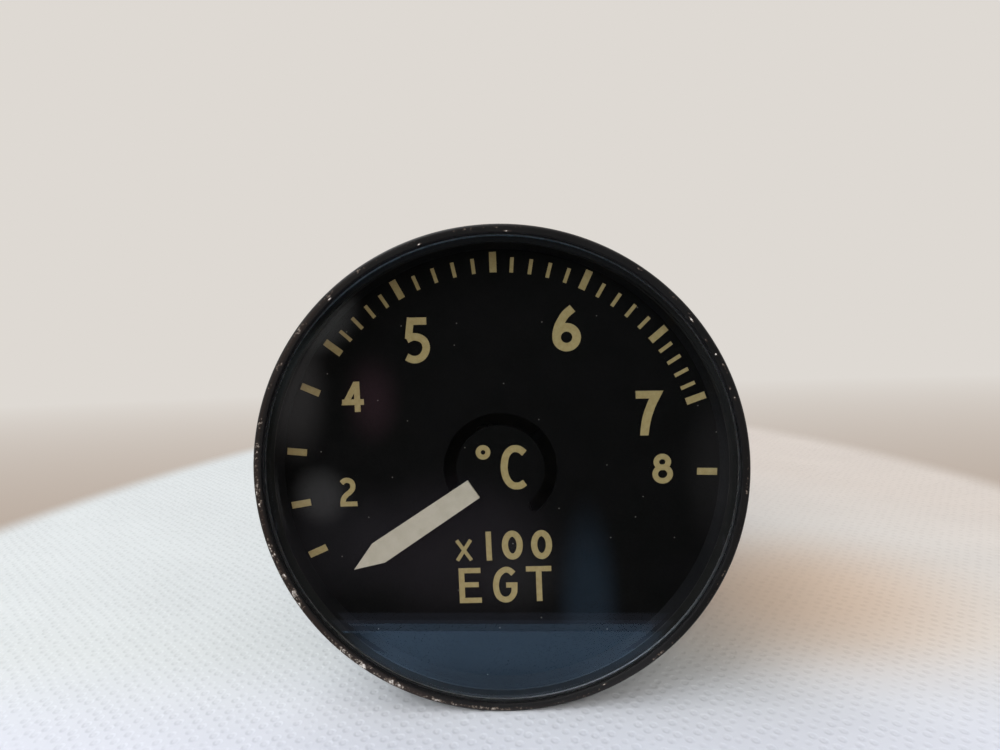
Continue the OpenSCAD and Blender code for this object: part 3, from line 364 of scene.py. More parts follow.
# %% [markdown]
# ## What the dial says
# The scale counts in hundreds of degrees Celsius. Two and four are small because the scale is
# squeezed there, five to seven are tall, eight is small again. Below stands what the gauge
# measures, in three letters. Each numeral's own millimetres are about its middle.

# %% Draw the numerals
def placed(shapes, x, z):
    """The same shapes about another middle."""
    return [(np.asarray(points) + (x, z), faces) for points, faces in shapes]


def outline(points):
    """One flat face inside an outline that is given clockwise, turned anticlockwise."""
    return np.asarray(points, float), [list(range(len(points)))[::-1]]


five = [brush([(-1.07, 2.28), (0.1, 2.27), (1.2, 2.25)], 0.86),
        brush([(-0.63, 2.7), (-0.82, 1.5), (-1.0, 0.2)], 0.84),
        brush(smooth_path([(-1.3, -1.9), (-0.73, -2.2), (-0.15, -2.25), (0.44, -2.01),
                           (0.85, -1.55), (1.05, -0.88), (0.88, -0.16), (0.36, 0.28),
                           (-0.33, 0.44), (-0.81, 0.32), (-1.2, 0.15)]), 0.88)]
six = [brush(smooth_path([(0.77, 2.31), (-0.04, 1.64), (-0.55, 0.94), (-0.93, 0.21),
                          (-1.13, -0.5), (-1.17, -1.03)]), 1.0),
       brush(oval(0.0, -1.05, 1.17, 1.16, 48), 1.0)]
seven = [outline([(-1.56, 2.66), (1.69, 2.6), (1.3, 1.85), (0.95, 1.19), (0.68, 0.6), (0.46, 0.0),
                  (0.29, -0.5), (0.14, -1.1), (0.0, -1.85), (-0.12, -2.68), (-1.1, -2.66),
                  (-1.04, -2.0), (-0.95, -1.33), (-0.86, -0.8), (-0.74, -0.3), (-0.57, 0.25),
                  (-0.35, 0.81), (-0.18, 1.25), (0.05, 1.72), (-1.54, 1.75)])]
eight = [brush(oval(-0.03, 0.82, 0.7, 0.66), 0.66), brush(oval(0.0, -0.64, 0.88, 0.83), 0.66)]
four = [brush([(0.52, 1.8), (0.52, 0.0), (0.52, -1.83)], 0.7),
        brush([(-1.3, -0.64), (0.0, -0.65), (1.3, -0.66)], 0.68),
        outline([(0.18, 1.8), (0.86, 1.8), (0.5, 0.95), (0.1, 0.3), (-0.5, -0.75), (-1.42, -0.98)])]
two = [brush(smooth_path([(-0.76, 1.14), (-0.4, 1.42), (0.03, 1.46), (0.44, 1.25), (0.6, 0.8),
                          (0.5, 0.35), (0.17, -0.02), (-0.24, -0.33), (-0.57, -0.72),
                          (-0.7, -1.1), (-0.73, -1.45)]), 0.62),
       brush([(-1.04, -1.46), (0.0, -1.46), (1.04, -1.46)], 0.58)]
degree = [brush(oval(0, 0, 0.58, 0.58), 0.6)]
celsius = [brush(smooth_path([(1.27, 1.7), (0.74, 2.13), (0.11, 2.28), (-0.47, 2.05),
                              (-0.97, 1.35), (-1.2, 0.1), (-1.1, -0.9), (-0.79, -1.65),
                              (-0.3, -2.15), (0.16, -2.28), (0.7, -2.22), (1.23, -1.89)]), 0.84)]
cross = [brush([(-0.85, 1.24), (0, 0), (0.86, -1.27)], 0.44),
         brush([(0.84, 1.26), (0, 0), (-0.84, -1.29)], 0.44)]
one = [brush([(-0.01, 1.8), (0, 0), (0.03, -1.8)], 0.66)]
nought = [brush(oval(0, 0, 0.89, 1.43), 0.75)]
letter_e = [brush([(-1.0, 2.2), (-1.0, 0), (-1.0, -2.2)], 0.68),
            brush([(-1.2, 1.88), (0, 1.88), (1.32, 1.88)], 0.64),
            brush([(-1.2, 0.1), (0, 0.1), (1.05, 0.1)], 0.62),
            brush([(-1.2, -1.88), (0, -1.88), (1.36, -1.88)], 0.64)]
letter_g = [brush(smooth_path([(1.0, 1.38), (0.55, 1.8), (0.05, 1.9), (-0.49, 1.62),
                               (-0.93, 1.01), (-1.15, 0.01), (-1.03, -1.0), (-0.64, -1.63),
                               (-0.01, -1.87), (0.6, -1.64), (1.02, -1.0), (1.1, -0.2)]), 0.72),
            brush([(0.09, -0.03), (0.8, -0.03), (1.46, -0.04)], 0.64)]
letter_t = [brush([(-1.52, 1.87), (0, 1.87), (1.55, 1.86)], 0.64),
            brush([(0.02, 2.0), (0.02, 0), (0.04, -2.2)], 0.69)]

# %% Print them on the dial
DIAL_Y = box_mm("dial_plate")[0][1]
FILM = 0.04
groups = {
    "numerals": [(two, -18.47, -2.31), (four, -17.26, 9.29), (five, -9.26, 15.74),
                 (six, 8.32, 16.57), (seven, 17.79, 6.27), (eight, 19.28, -0.48)],
    "unit_sign": [(degree, -1.99, 2.11), (celsius, 1.67, 0.18)],
    "multiplier": [(cross, -4.76, -9.89), (one, -1.74, -9.45), (nought, 1.12, -9.40),
                   (nought, 4.65, -9.42)],
    "quantity_letters": [(letter_e, -4.19, -14.35), (letter_g, 0.11, -14.36),
                         (letter_t, 4.18, -14.29)],
}
for group, items in groups.items():
    shapes = [shape for glyph, x, z in items for shape in placed(glyph, x, z)]
    points, faces = raised_print(shapes, DIAL_Y, FILM)
    make_piece(group, points, faces, "root", crisp=30)

# %% [markdown]
# ## Screw threads
# The terminals at the back are threaded rods with plain turned ends, of two sizes so that the
# leads can't be swapped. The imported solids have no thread. A thread could be a spun array, but one
# surface of angle and length does it: the radius falls and rises once for each pitch along the rod
# and the rise moves on with the angle.

# %% Cut the threads
# Rows of points to a pitch, depth and run-out of the thread in pitches, then edges in mm
ROWS_A_PITCH = 12
THREAD_DEPTH = 0.55
RUN_OUT = 0.8
COLLAR_EDGE = 0.15
TIP_EDGE = 0.35
TIP = 1.1
# Radius of the thread and of its plain end, pitch and material slot
STUDS = {"positive_stud": (1.8, 1.6, 0.6, "positive_alloy"),
         "negative_stud": (2.35, 2.15, 0.7, "negative_alloy")}
WASHER_Y = box_mm("terminal_washers")[0][1]
# The block's screws lie sunk in it by this much
SUNK = 0.3
BLOCK_FACE_Y = box_mm("block_screws")[1][1] + SUNK


def threaded(x, radius, end_r, pitch, collar_r, start, end):
    """A stud along Y at x: r(y, a) = radius - 0.55 pitch * ramp(y / pitch - a / turn), where ramp is
    a triangle wave and dies out at both ends of the thread. A collar lies between the block and
    the washers."""
    around = 48
    c0, c1, thread_end = BLOCK_FACE_Y, WASHER_Y, end - TIP
    a = full_turn(around)
    y = np.linspace(c1 + 0.05, thread_end, int((thread_end - c1) / pitch * ROWS_A_PITCH))[:, None]
    ramp = np.abs((y / pitch - a / (2 * np.pi)) % 1 * 2 - 1)
    fade = np.clip(np.minimum(y - y[0], y[-1] - y) / (RUN_OUT * pitch), 0, 1)
    r = radius - THREAD_DEPTH * pitch * ramp * fade
    thread = np.stack([x + r * np.cos(a), y + 0 * a, r * np.sin(a)], -1)
    head = turned([(radius, start), (radius, c0), (collar_r - COLLAR_EDGE, c0),
                   (collar_r, c0 + COLLAR_EDGE), (collar_r, c1 - COLLAR_EDGE),
                   (collar_r - COLLAR_EDGE, c1), (radius, c1)], around, x)
    tail = turned([(end_r, thread_end + 0.02), (end_r, end - TIP_EDGE), (end_r - TIP_EDGE, end)],
                  around, x)
    grid = np.concatenate([head, thread, tail])
    points = np.concatenate([grid.reshape(-1, 3), [(x, start, 0), (x, end, 0)]])
    return points, closed_ends(len(grid), around)


for node, (stud_r, end_r, pitch, slot) in STUDS.items():
    low, high = box_mm(node)
    points, faces = threaded((low[0] + high[0]) / 2, stud_r, end_r, pitch, (high[0] - low[0]) / 2,
                             low[1], high[1])
    make_piece(node.replace("stud", "threaded_stud"), points, faces, "root", [node], crisp=50)

# %% [markdown]
# ## Nuts
# Terminal nuts are turned from hexagon bar, so their corners are cut by a cone at both faces. They
# could be prisms with a bevel modifier, but a bevel follows the flats and not the cone. Here the
# radius at each angle is the smaller of the hexagon's and the cone's, which leaves the curved
# edges that real nuts show.

# %% Cut the nuts
CONE_START = 0.95
CONE_RISE = 1.73
BORE_EDGE = 0.2
# Radius at the corners and of the bore
NUTS = [(3.7, 1.85), (4.25, 2.4)]


def hexagon_nut(x, corner_r, bore_r, y0, y1, around=96):
    """A nut along Y at x: r(a, s) = min(flat / cos(a's distance from the middle of its flat),
    0.95 * flat + 1.73 s), with s the distance from the nearer face. The bore closes the section."""
    a = full_turn(around)
    flat = corner_r * math.cos(math.pi / 6)
    hexagon = flat / np.cos((a % (np.pi / 3)) - np.pi / 6)
    s = np.array([0, 0.1, 0.2, 0.3, 0.42, 0.6])
    y = np.concatenate([y0 + s, y1 - s[::-1]])[:, None]
    cone = CONE_START * flat + CONE_RISE * np.concatenate([s, s[::-1]])[:, None]
    r = np.minimum(hexagon, cone)
    side = np.stack([x + r * np.cos(a), y + 0 * a, r * np.sin(a)], -1)
    bore = turned([(bore_r + BORE_EDGE, y1), (bore_r, y1 - BORE_EDGE), (bore_r, y0 + BORE_EDGE),
                   (bore_r + BORE_EDGE, y0)], around, x)
    grid = np.concatenate([side, bore])
    return grid.reshape(-1, 3), quads(len(grid), around, close_rows=True)


nuts_low, nuts_high = box_mm("terminal_nuts")
nut_middles = (nuts_low[0] + NUTS[0][0], nuts_high[0] - NUTS[1][0])
cut = [hexagon_nut(x, *radii, nuts_low[1], nuts_high[1]) for x, radii in zip(nut_middles, NUTS)]
make_piece("chamfered_nuts", np.concatenate([points for points, _ in cut]),
           [faces + k * len(cut[0][0]) for k, (_, faces) in enumerate(cut)], "root",
           ["terminal_nuts"], crisp=30)

# %% [markdown]
# ## Signs of the terminals
# A plus and a minus are moulded proud of the block beside their studs and filled with cream paint.
# They are made as the numerals are, on the back of the block.

# %% Raise the signs
SIGN_X, SIGN_Z, SIGN_H = 14.6, 4.6, 0.25
bar = brush([(-0.9, 0), (0, 0), (0.9, 0)], 0.5)
stroke = brush([(0, -0.9), (0, 0), (0, 0.9)], 0.5)
signs = placed([bar, stroke], -SIGN_X, SIGN_Z) + placed([bar], SIGN_X, SIGN_Z)
points, faces = raised_print(signs, BLOCK_FACE_Y, -SIGN_H)
make_piece("terminal_signs", points, faces, "root", crisp=30)

# %% [markdown]
# ## Finishes
# Colours are written as sRGB hex, as a paint card gives them, and one function turns them to the
# linear values that light is added up in. Nodes could be wired by hand in Blender's editor, but
# here one function adds a node with its settings and links, so a finish reads from top to bottom.

# %% Colours and nodes
# A Mix node that mixes colours has them at inputs 6 and 7
COLOURS = {"data_type": "RGBA"}
UNDER, OVER = 6, 7
SMOOTH = {"interpolation_type": "SMOOTHSTEP"}
# Across the gauge but not along it
OFF_AXIS = {"operation": "MULTIPLY", 1: (1, 0, 1)}


def colour(text):
    """sRGB hex to linear: c / 12.92 below 0.04045, else ((c + 0.055) / 1.055) ** 2.4."""
    part = [int(text[i:i + 2], 16) / 255 for i in (1, 3, 5)]
    return tuple(c / 12.92 if c <= 0.04045 else ((c + 0.055) / 1.055) ** 2.4 for c in part) + (1,)


def join(owner, node, links):
    """Brings outputs to the inputs of a node. A link is (node, output), or a node alone for the
    first of its outputs that is in use."""
    for key, link in links.items():
        if isinstance(link, tuple):
            output = link[0].outputs[link[1]]
        else:
            output = next(socket for socket in link.outputs if socket.enabled)
        owner.node_tree.links.new(output, node.inputs[key])


def add(owner, kind, settings=None, links=None):
    """Adds one node to a material or world. A setting is the node's own property or the value of
    an input, and a single word stands for the operation of a Math node."""
    node = owner.node_tree.nodes.new("ShaderNode" + kind)
    if isinstance(settings, str):
        settings = {"operation": settings}
    for key, value in (settings or {}).items():
        if isinstance(key, str) and hasattr(node, key):
            setattr(node, key, value)
        else:
            node.inputs[key].default_value = value
    join(owner, node, links or {})
    return node


def emptied(owner):
    """A material or world with a node tree that waits for its first node."""
    owner.use_nodes = True
    owner.node_tree.nodes.clear()
    return owner


def per_mm(size):
    """Scale of a pattern on coordinates in metres whose features are size millimetres."""
    return 1 / (size * MM)


def between(start, end, more=None):
    """Settings of a Map Range node that goes from 0 at start to 1 at end."""
    return {"From Min": start, "From Max": end, **(more or {})}


def between_mm(start, end, more=None):
    """The same for a place, which a finish reads in metres."""
    return between(start * MM, end * MM, more)


print("black paint is", [round(part, 4) for part in colour("#0b0b0c")[:3]], "in linear light")

# %% [markdown]
# ## The ground of every finish
# No real surface has one colour or one gloss. A picture could be laid over it, but a pattern that
# is worked out has no seams. It wanders between two colours over patches and breaks up gloss and
# level with a finer grain, both at their real size. Most finishes need no more.

# %% Start a finish
# Noise keeps mostly between these values, so a pattern starts and ends there
PATCH_SPAN = between(0.35, 0.7)
GRAIN_SPAN = between(0.3, 0.7)


def start_finish(name, base, worn, patch_mm, metallic, gloss, grain_mm, depth_mm, stretch=(1, 1, 1),
                 shader=None):
    """A finish whose colour wanders from base to worn over patches of patch_mm, whose roughness
    spans the two numbers of gloss, and whose grain of grain_mm is depth_mm deep. stretch squeezes
    the pattern along an axis, as tool marks are."""
    material = emptied(bpy.data.materials.new(name))
    where = (add(material, "TexCoord"), "Object")
    mapped = add(material, "Mapping", {"Scale": stretch}, {"Vector": where})
    patches = add(material, "TexNoise", {"Scale": per_mm(patch_mm), "Detail": 4.0}, {"Vector": mapped})
    grain = add(material, "TexNoise", {"Scale": per_mm(grain_mm), "Detail": 3.0}, {"Vector": mapped})
    blend = add(material, "MapRange", PATCH_SPAN, {"Value": patches})
    tint = add(material, "Mix", {**COLOURS, UNDER: colour(base), OVER: colour(worn)}, {0: blend})
    dull = add(material, "MapRange", {**GRAIN_SPAN, "To Min": gloss[0], "To Max": gloss[1]},
               {"Value": grain})
    relief = add(material, "Bump", {"Strength": 1.0, "Distance": depth_mm * MM}, {"Height": grain})
    surface = add(material, "BsdfPrincipled", {"Metallic": metallic, **(shader or {})},
                  {"Base Color": tint, "Roughness": dull, "Normal": relief})
    add(material, "OutputMaterial", links={"Surface": surface})
    return material, {"surface": surface, "tint": tint, "relief": relief, "where": where,
                      "grain": grain}


def paint(names, material):
    """Puts one finish on every slot of the named pieces, whose names are words in a string."""
    for name in names.split():
        piece = nodes[name] if name in nodes else bpy.data.objects[name]
        piece.data.materials.clear()
        piece.data.materials.append(material)
    print(material.name, "is on", names)


def paint_table(table, shader=None):
    """Makes the finish of each row, whose first entry is the pieces that it goes on."""
    for names, *finish in table:
        material, _ = start_finish(*finish, shader=shader)
        paint(names, material)


# %% [markdown]
# ## Black stoved paint with bare edges
# Stoving enamel on aluminium: baked, half matt, a little orange peel. Where the wear number and a
# fine noise together pass a limit the paint is gone. Its rim shows brown primer, its middle dull
# metal with a few rubbed, bright spots. It is all one shader, steered by masks, so the chips bake.

# %% Finish the bezel
KNOCK_MM = 2.6
FLAKE_MM = 0.38
PEEL_DEPTH = 0.02
enamel, parts = start_finish("black_stoved_paint", "#0b0b0c", "#131314", 6, 0.0, (0.38, 0.55), 0.35,
                             0.006, shader={"Specular IOR Level": 0.35})
wear = (add(enamel, "Attribute", {"attribute_name": "wear"}), "Fac")
knocks = add(enamel, "TexNoise", {"Scale": per_mm(KNOCK_MM), "Detail": 1.0}, {"Vector": parts["where"]})
flakes = add(enamel, "TexNoise", {"Scale": per_mm(FLAKE_MM), "Detail": 4.0, "Roughness": 0.7},
             {"Vector": parts["where"]})
ragged = add(enamel, "Mix", {0: 0.65}, {2: knocks, 3: flakes})
uneven = add(enamel, "MapRange", between(0.38, 0.62), {"Value": ragged})
lost = add(enamel, "Math", "ADD", {0: wear, 1: uneven})
# Paint, then primer, then dull skin go once wear and noise add up to these limits
LAYERS_GO = [(1.28, 1.34), (1.38, 1.46), (1.58, 1.7)]
chipped, bare, rubbed = (add(enamel, "MapRange", between(*limits), {"Value": lost})
                         for limits in LAYERS_GO)
thinned = add(enamel, "MapRange", between(0.4, 0.8, {"To Max": 0.4}), {"Value": wear})
primed = add(enamel, "Math", "MAXIMUM", {0: chipped, 1: thinned})
with_primer = add(enamel, "Mix", {**COLOURS, OVER: colour("#3a2b22")},
                  {0: primed, UNDER: parts["tint"]})
metal = add(enamel, "Mix", {**COLOURS, UNDER: colour("#6f665d"), OVER: colour("#cfcac4")}, {0: rubbed})
with_metal = add(enamel, "Mix", COLOURS, {0: bare, UNDER: with_primer, OVER: metal})
height = add(enamel, "Math", "SUBTRACT", {0: parts["grain"], 1: chipped})
join(enamel, parts["surface"], {"Base Color": with_metal})
join(enamel, parts["relief"], {"Height": height})
parts["relief"].inputs["Distance"].default_value = PEEL_DEPTH * MM
paint("bezel_ring", enamel)

# %% [markdown]
# ## Bloomed glass
# Instrument glass of index 1.52 with a thin coating that leaves a faint blue reflection. Real
# refraction shows the dial where the eye found it. Lamps must still reach the dial, so rays that
# only ask for shadow pass straight through. The bevel is polished nearly as well as the face, but
# its outermost edge is left ground, so a thin pale line runs round the window.

# %% Finish the window
# Radii between which the ground edge and the polished bevel begin
GROUND_R = (GLASS_R - 0.24, GLASS_R - 0.18)
BEVEL_R = (GLASS_R - 0.95, GLASS_R - 0.85)
BEVEL_TO_GROUND = {"To Min": 0.02, "To Max": 0.3}
CLEAR = colour("#f4f7f8")
glass = emptied(bpy.data.materials.new("bloomed_instrument_glass"))
across = add(glass, "VectorMath", OFF_AXIS, {0: (add(glass, "TexCoord"), "Object")})
from_axis = add(glass, "VectorMath", "LENGTH", {"Vector": across})
ground = add(glass, "MapRange", between_mm(*GROUND_R, BEVEL_TO_GROUND), {"Value": from_axis})
on_bevel = add(glass, "MapRange", between_mm(*BEVEL_R), {"Value": from_axis})
rough = add(glass, "Math", "MULTIPLY", {0: ground, 1: on_bevel})
clear = add(glass, "BsdfPrincipled", {"Base Color": CLEAR, "IOR": 1.52, "Transmission Weight": 1.0,
                                      "Specular Tint": colour("#a9d5fc")}, {"Roughness": rough})
open_way = add(glass, "BsdfTransparent", {"Color": CLEAR})
ray = add(glass, "LightPath")
either = add(glass, "MixShader", {}, {0: (ray, "Is Shadow Ray"), 1: clear, 2: open_way})
add(glass, "OutputMaterial", links={"Surface": either})
paint("window", glass)

# %% [markdown]
# ## Dial, marks and pointer
# The dial is sprayed dead matt black, so that nothing shines at the reader, and in many years a few
# specks of dust, a tenth of a millimetre across, have settled on it. The marks are a khaki cream
# ink, slightly blotchy with age. The pointer is sprayed a paler cream.

# %% Finish what is read
DUST_APART = 8
DUST_EDGE = (0.012, 0.006)
DEAD_MATT = {"Specular IOR Level": 0.12}
dial_black, parts = start_finish("matt_dial_black", "#060606", "#0b0a0b", 3, 0.0, (0.75, 0.9), 0.25,
                                 0.0008, shader=DEAD_MATT)
stood_up = add(dial_black, "Mapping", {"Rotation": (math.radians(90), 0, 0)},
               {"Vector": parts["where"]})
specks = add(dial_black, "TexVoronoi", {"voronoi_dimensions": "2D", "Scale": per_mm(DUST_APART)},
             {"Vector": stood_up})
dust = add(dial_black, "MapRange", between(*DUST_EDGE), {"Value": specks})
dusty = add(dial_black, "Mix", {**COLOURS, OVER: colour("#7d7b76")}, {0: dust, UNDER: parts["tint"]})
join(dial_black, parts["surface"], {"Base Color": dusty})
paint("dial_plate", dial_black)

# %% [markdown]
# ## Tables of plain finishes
# A row gives the pieces, the finish's name, its two colours, the size of its patches in mm, how
# metallic it is, its range of roughness, and the size and depth of its grain in mm. Three more
# numbers squeeze the pattern along X, Y and Z, as tool marks are close together along Y. One
# function for each finish would say the same in four times the lines.

# %% Inks, rubber and leads
paint_table([
    # Matt spray under the glass, a shade above the dial so that its step can be seen
    ("dial_mask pointer_crank", "matt_mask_black", "#141416", "#1b1b1d", 4, 0, (0.6, 0.75), 0.3,
     0.002),
    # Printing ink, flat and a little blotchy
    ("scale_marks terminal_signs " + " ".join(groups), "khaki_cream_ink", "#bba774", "#c6b484", 0.5,
     0, (0.65, 0.8), 0.12, 0.004),
    # Poured in and set, so it has lumps but no shine
    ("glazing_bead", "run_in_sealant", "#131415", "#1f2022", 2.5, 0, (0.6, 0.8), 0.6, 0.02),
], DEAD_MATT)
# Spray that has yellowed, and has kept a trace of shine
paint_table([("pointer", "pale_cream_spray", "#e2d9c8", "#d8cfbc", 1.2, 0, (0.55, 0.7), 0.15,
              0.003)], {"Specular IOR Level": 0.25})
paint_table([
    # Grey bloom on black
    ("glass_seal rear_gasket", "moulded_black_rubber", "#161616", "#1f1e1d", 2, 0, (0.65, 0.8), 0.1,
     0.01),
    # Woven sleeves under varnish: a half shine over a fine rib
    ("positive_lead", "red_varnished_sleeve", "#7a241c", "#551710", 1, 0, (0.35, 0.5), 0.2, 0.02,
     (1, 0.3, 1)),
    ("negative_lead", "blue_varnished_sleeve", "#30405e", "#1f2b42", 1, 0, (0.35, 0.5), 0.2, 0.02,
     (1, 0.3, 1)),
])

# %% [markdown]
# ## Metals of the movement
# Plates are lacquered brass, small pieces are turned brass, springs are rolled bronze, screws are
# bright steel, the core is ground iron and the magnet is a cast alloy. They could share one grey
# metal, as nobody sees them at rest, but the gauge may be opened up and looked at piece by piece.

# %% Finish the movement
paint_table([
    # Warm and half bright under old lacquer
    ("dial_feet core_brackets yoke_pillars yoke_spacers rear_plate", "lacquered_brass", "#c3a563",
     "#b29252", 4, 1, (0.24, 0.38), 0.15, 0.002, (1, 4, 1)),
    # Painted shade: these pieces are darkened so that the dial's slot shows only shade
    ("front_bridge front_plate zero_arm trim_weights", "chemically_blackened_brass", "#1a1816",
     "#2a2622", 2, 0.6, (0.5, 0.65), 0.15, 0.002, (1, 4, 1)),
    # Fresh from the lathe: bright, with fine rings
    ("coil_carrier counterweight spring_collets front_jewel_screw rear_jewel_screw rear_jewel_nut",
     "turned_brass", "#cfae6a", "#ad8a4a", 2, 1, (0.18, 0.3), 0.1, 0.002, (1, 6, 1)),
    ("staff stop_pins bracket_screws yoke_nuts movement_screws bobbin_screws block_screws "
     "terminal_washers", "turned_steel", "#b3b2b0", "#8f8f90", 2, 1, (0.22, 0.34), 0.1, 0.002,
     (1, 5, 1)),
    # Grey and silky from the stone
    ("core_ring pole_ring", "ground_iron", "#86878a", "#6c6a68", 3, 1, (0.35, 0.5), 0.12, 0.004),
    # Dark, with the skin of the mould
    ("magnet", "cast_magnet_alloy", "#5f6062", "#4a4744", 2, 1, (0.45, 0.65), 0.4, 0.03),
    # Palest of them all
    ("coil_former", "thin_aluminium", "#c9cacc", "#b4b5b8", 2, 1, (0.28, 0.4), 0.1, 0.002,
     (1, 3, 1)),
    # Red brown enamel over turns of wire
    ("coil_winding", "enamelled_copper_wire", "#9c4f24", "#7a3a18", 0.6, 0.6, (0.3, 0.42), 0.15, 0.03,
     (1, 0.2, 1)),
    # Rolled thin and bright
    ("front_hairspring rear_hairspring", "rolled_spring_bronze", "#b98244", "#9a6a34", 1.5, 1,
     (0.22, 0.34), 0.08, 0.002),
    ("bimetal_compensator", "rolled_bimetal", "#a2917c", "#8b7a64", 1.5, 1, (0.3, 0.42), 0.1, 0.002),
    # Brown varnish over close turns
    ("resistor_windings", "varnished_resistance_wire", "#6e4523", "#50301a", 0.6, 0.5, (0.3, 0.4), 0.2,
     0.04, (1, 5, 1)),
])

# %% [markdown]
# ## Mouldings and terminals
# The block and the bobbins are moulded phenolic. The studs are the two dull alloys of the
# thermocouple, so that each lead meets its own metal, and the nuts are worn nickel plate.

# %% Finish the back
paint_table([
    # Moulded phenolic: dark, half shiny, with a faint flow pattern
    ("terminal_block", "dark_phenolic", "#241713", "#33211a", 3, 0, (0.3, 0.45), 0.3, 0.006),
    ("resistor_bobbins", "brown_phenolic", "#6a4226", "#52321c", 2, 0, (0.35, 0.5), 0.3, 0.006),
    # Dry and layered like card
    ("stud_bushes", "pressed_fibre", "#b49a6e", "#9c8156", 0.8, 0, (0.6, 0.75), 0.15, 0.02,
     (1, 4, 1)),
    # Oiled black, with brown where it is worn
    ("cover_screws bridge_screws", "blackened_screw_steel", "#2c2c2d", "#46433f", 1, 1,
     (0.35, 0.5), 0.1, 0.003),
    # The two alloys of the thermocouple, one yellowish and one grey
    ("positive_stud positive_threaded_stud", "dull_positive_alloy", "#b39c6d", "#937d52", 1, 1,
     (0.3, 0.45), 0.12, 0.003),
    ("negative_stud negative_threaded_stud", "dull_negative_alloy", "#a1a2a2", "#838382", 1, 1,
     (0.3, 0.45), 0.12, 0.003),
    # Plating worn to a yellowish grey
    ("terminal_nuts chamfered_nuts inner_nuts solder_tags", "worn_nickel_plate", "#b8ab86", "#a39672",
     1, 1, (0.25, 0.4), 0.12, 0.003),
])

# %% [markdown]
# ## The case
# The case is drawn aluminium in the same stoved black as the bezel, scuffed where the clamp went
# over it and along the corner of its cover. A painted map of the scuffs would need UVs; a mask of
# two real sizes, the distance from that corner and from the clamp's middle, does without them, and
# noise drawn out round the case breaks it into scratches.

# %% Finish the case
CLAMP_Y = 22
CLAMP_HALF = (6.72, 5.28)
CORNER_WORN = (0.55, 0.1)
SCRATCH_MM = 0.35
case_black, parts = start_finish("black_stoved_case", "#17181a", "#212224", 9, 0.0, (0.38, 0.56), 0.5,
                                 0.012)
cover_r, cover_end = box_mm("rear_cover")[1][:2]
along_case = (add(case_black, "SeparateXYZ", {}, {"Vector": parts["where"]}), "Y")
across = add(case_black, "VectorMath", OFF_AXIS, {0: parts["where"]})
from_axis = add(case_black, "VectorMath", "LENGTH", {"Vector": across})
in_profile = add(case_black, "CombineXYZ", {}, {"X": from_axis, "Y": along_case})
to_corner = add(case_black, "VectorMath",
                {"operation": "DISTANCE", 1: (cover_r * MM, cover_end * MM, 0)}, {0: in_profile})
corner = add(case_black, "MapRange", between_mm(*CORNER_WORN, {"To Max": 0.5}), {"Value": to_corner})
to_band = add(case_black, "Math", {"operation": "SUBTRACT", 1: CLAMP_Y * MM}, {0: along_case})
band_side = add(case_black, "Math", "ABSOLUTE", {0: to_band})
band = add(case_black, "MapRange", between_mm(*CLAMP_HALF, {"To Max": 0.31}), {"Value": band_side})
round_marks = add(case_black, "Mapping", {"Scale": (0.06, 1, 0.06)}, {"Vector": parts["where"]})
scratches = add(case_black, "TexNoise", {"Scale": per_mm(SCRATCH_MM), "Detail": 5.0},
                {"Vector": round_marks})
most_worn = add(case_black, "Math", "MAXIMUM", {0: corner, 1: band})
worn_away = add(case_black, "Math", "ADD", {0: most_worn, 1: scratches})
scuffed = add(case_black, "MapRange", between(0.86, 0.98), {"Value": worn_away})
case_tint = add(case_black, "Mix", {**COLOURS, OVER: colour("#64605b")},
                {0: scuffed, UNDER: parts["tint"]})
join(case_black, parts["surface"], {"Base Color": case_tint})
paint("case_barrel rear_cover", case_black)

# %% [markdown]
# ## Cloth on the table, with painted light and shadow
# The gauge stands on a white cloth. White shows the colour of all light that falls on it, so light
# is painted into the cloth's colour: bluish in front, warmer towards the far right, and a brown
# painted shadow to the right of the gauge and behind it. Lamps of those colours would tint the gauge
# too, so the cloth carries the tints itself, laid over each other by distance on the table.

# %% Tint the cloth
floor_z = cad_low[2] / MM
WARM_SHADOW_AT = (47 * MM, 26 * MM, floor_z * MM)
FAR_RIGHT = (0.8, 0.6, 0)
cloth = emptied(bpy.data.materials.new("pale_floor"))
where = (add(cloth, "TexCoord"), "Object")
forwards = (add(cloth, "SeparateXYZ", {}, {"Vector": where}), "Y")
# Painted light: cool at the left, warm towards the far right
to_far_right = add(cloth, "VectorMath", {"operation": "DOT_PRODUCT", 1: FAR_RIGHT}, {0: where})
toward_warm_light = add(cloth, "MapRange", between_mm(20, 120), {"Value": to_far_right})
side_light_tint = add(cloth, "Mix", {**COLOURS, UNDER: colour("#d6dbdb"), OVER: colour("#dad2ca")},
                 {0: toward_warm_light})
# Painted shadow: the cloth turns brown round this point, right of and behind the gauge
to_warm_shadow = add(cloth, "VectorMath", {"operation": "DISTANCE", 1: WARM_SHADOW_AT}, {0: where})
warm_shadow = add(cloth, "MapRange", between_mm(40, 4, SMOOTH), {"Value": to_warm_shadow})
warm_shadow_tint = add(cloth, "Mix", {**COLOURS, OVER: colour("#d8c4b1")}, {0: warm_shadow, UNDER: side_light_tint})
# Painted light: the cloth turns bluish in front of the gauge
in_front = add(cloth, "MapRange", between_mm(12, -16, SMOOTH), {"Value": forwards})
cool_light_tint = add(cloth, "Mix", {**COLOURS, OVER: colour("#dadee7")}, {0: in_front, UNDER: warm_shadow_tint})
print("floor at z", round(floor_z, 2), "mm")
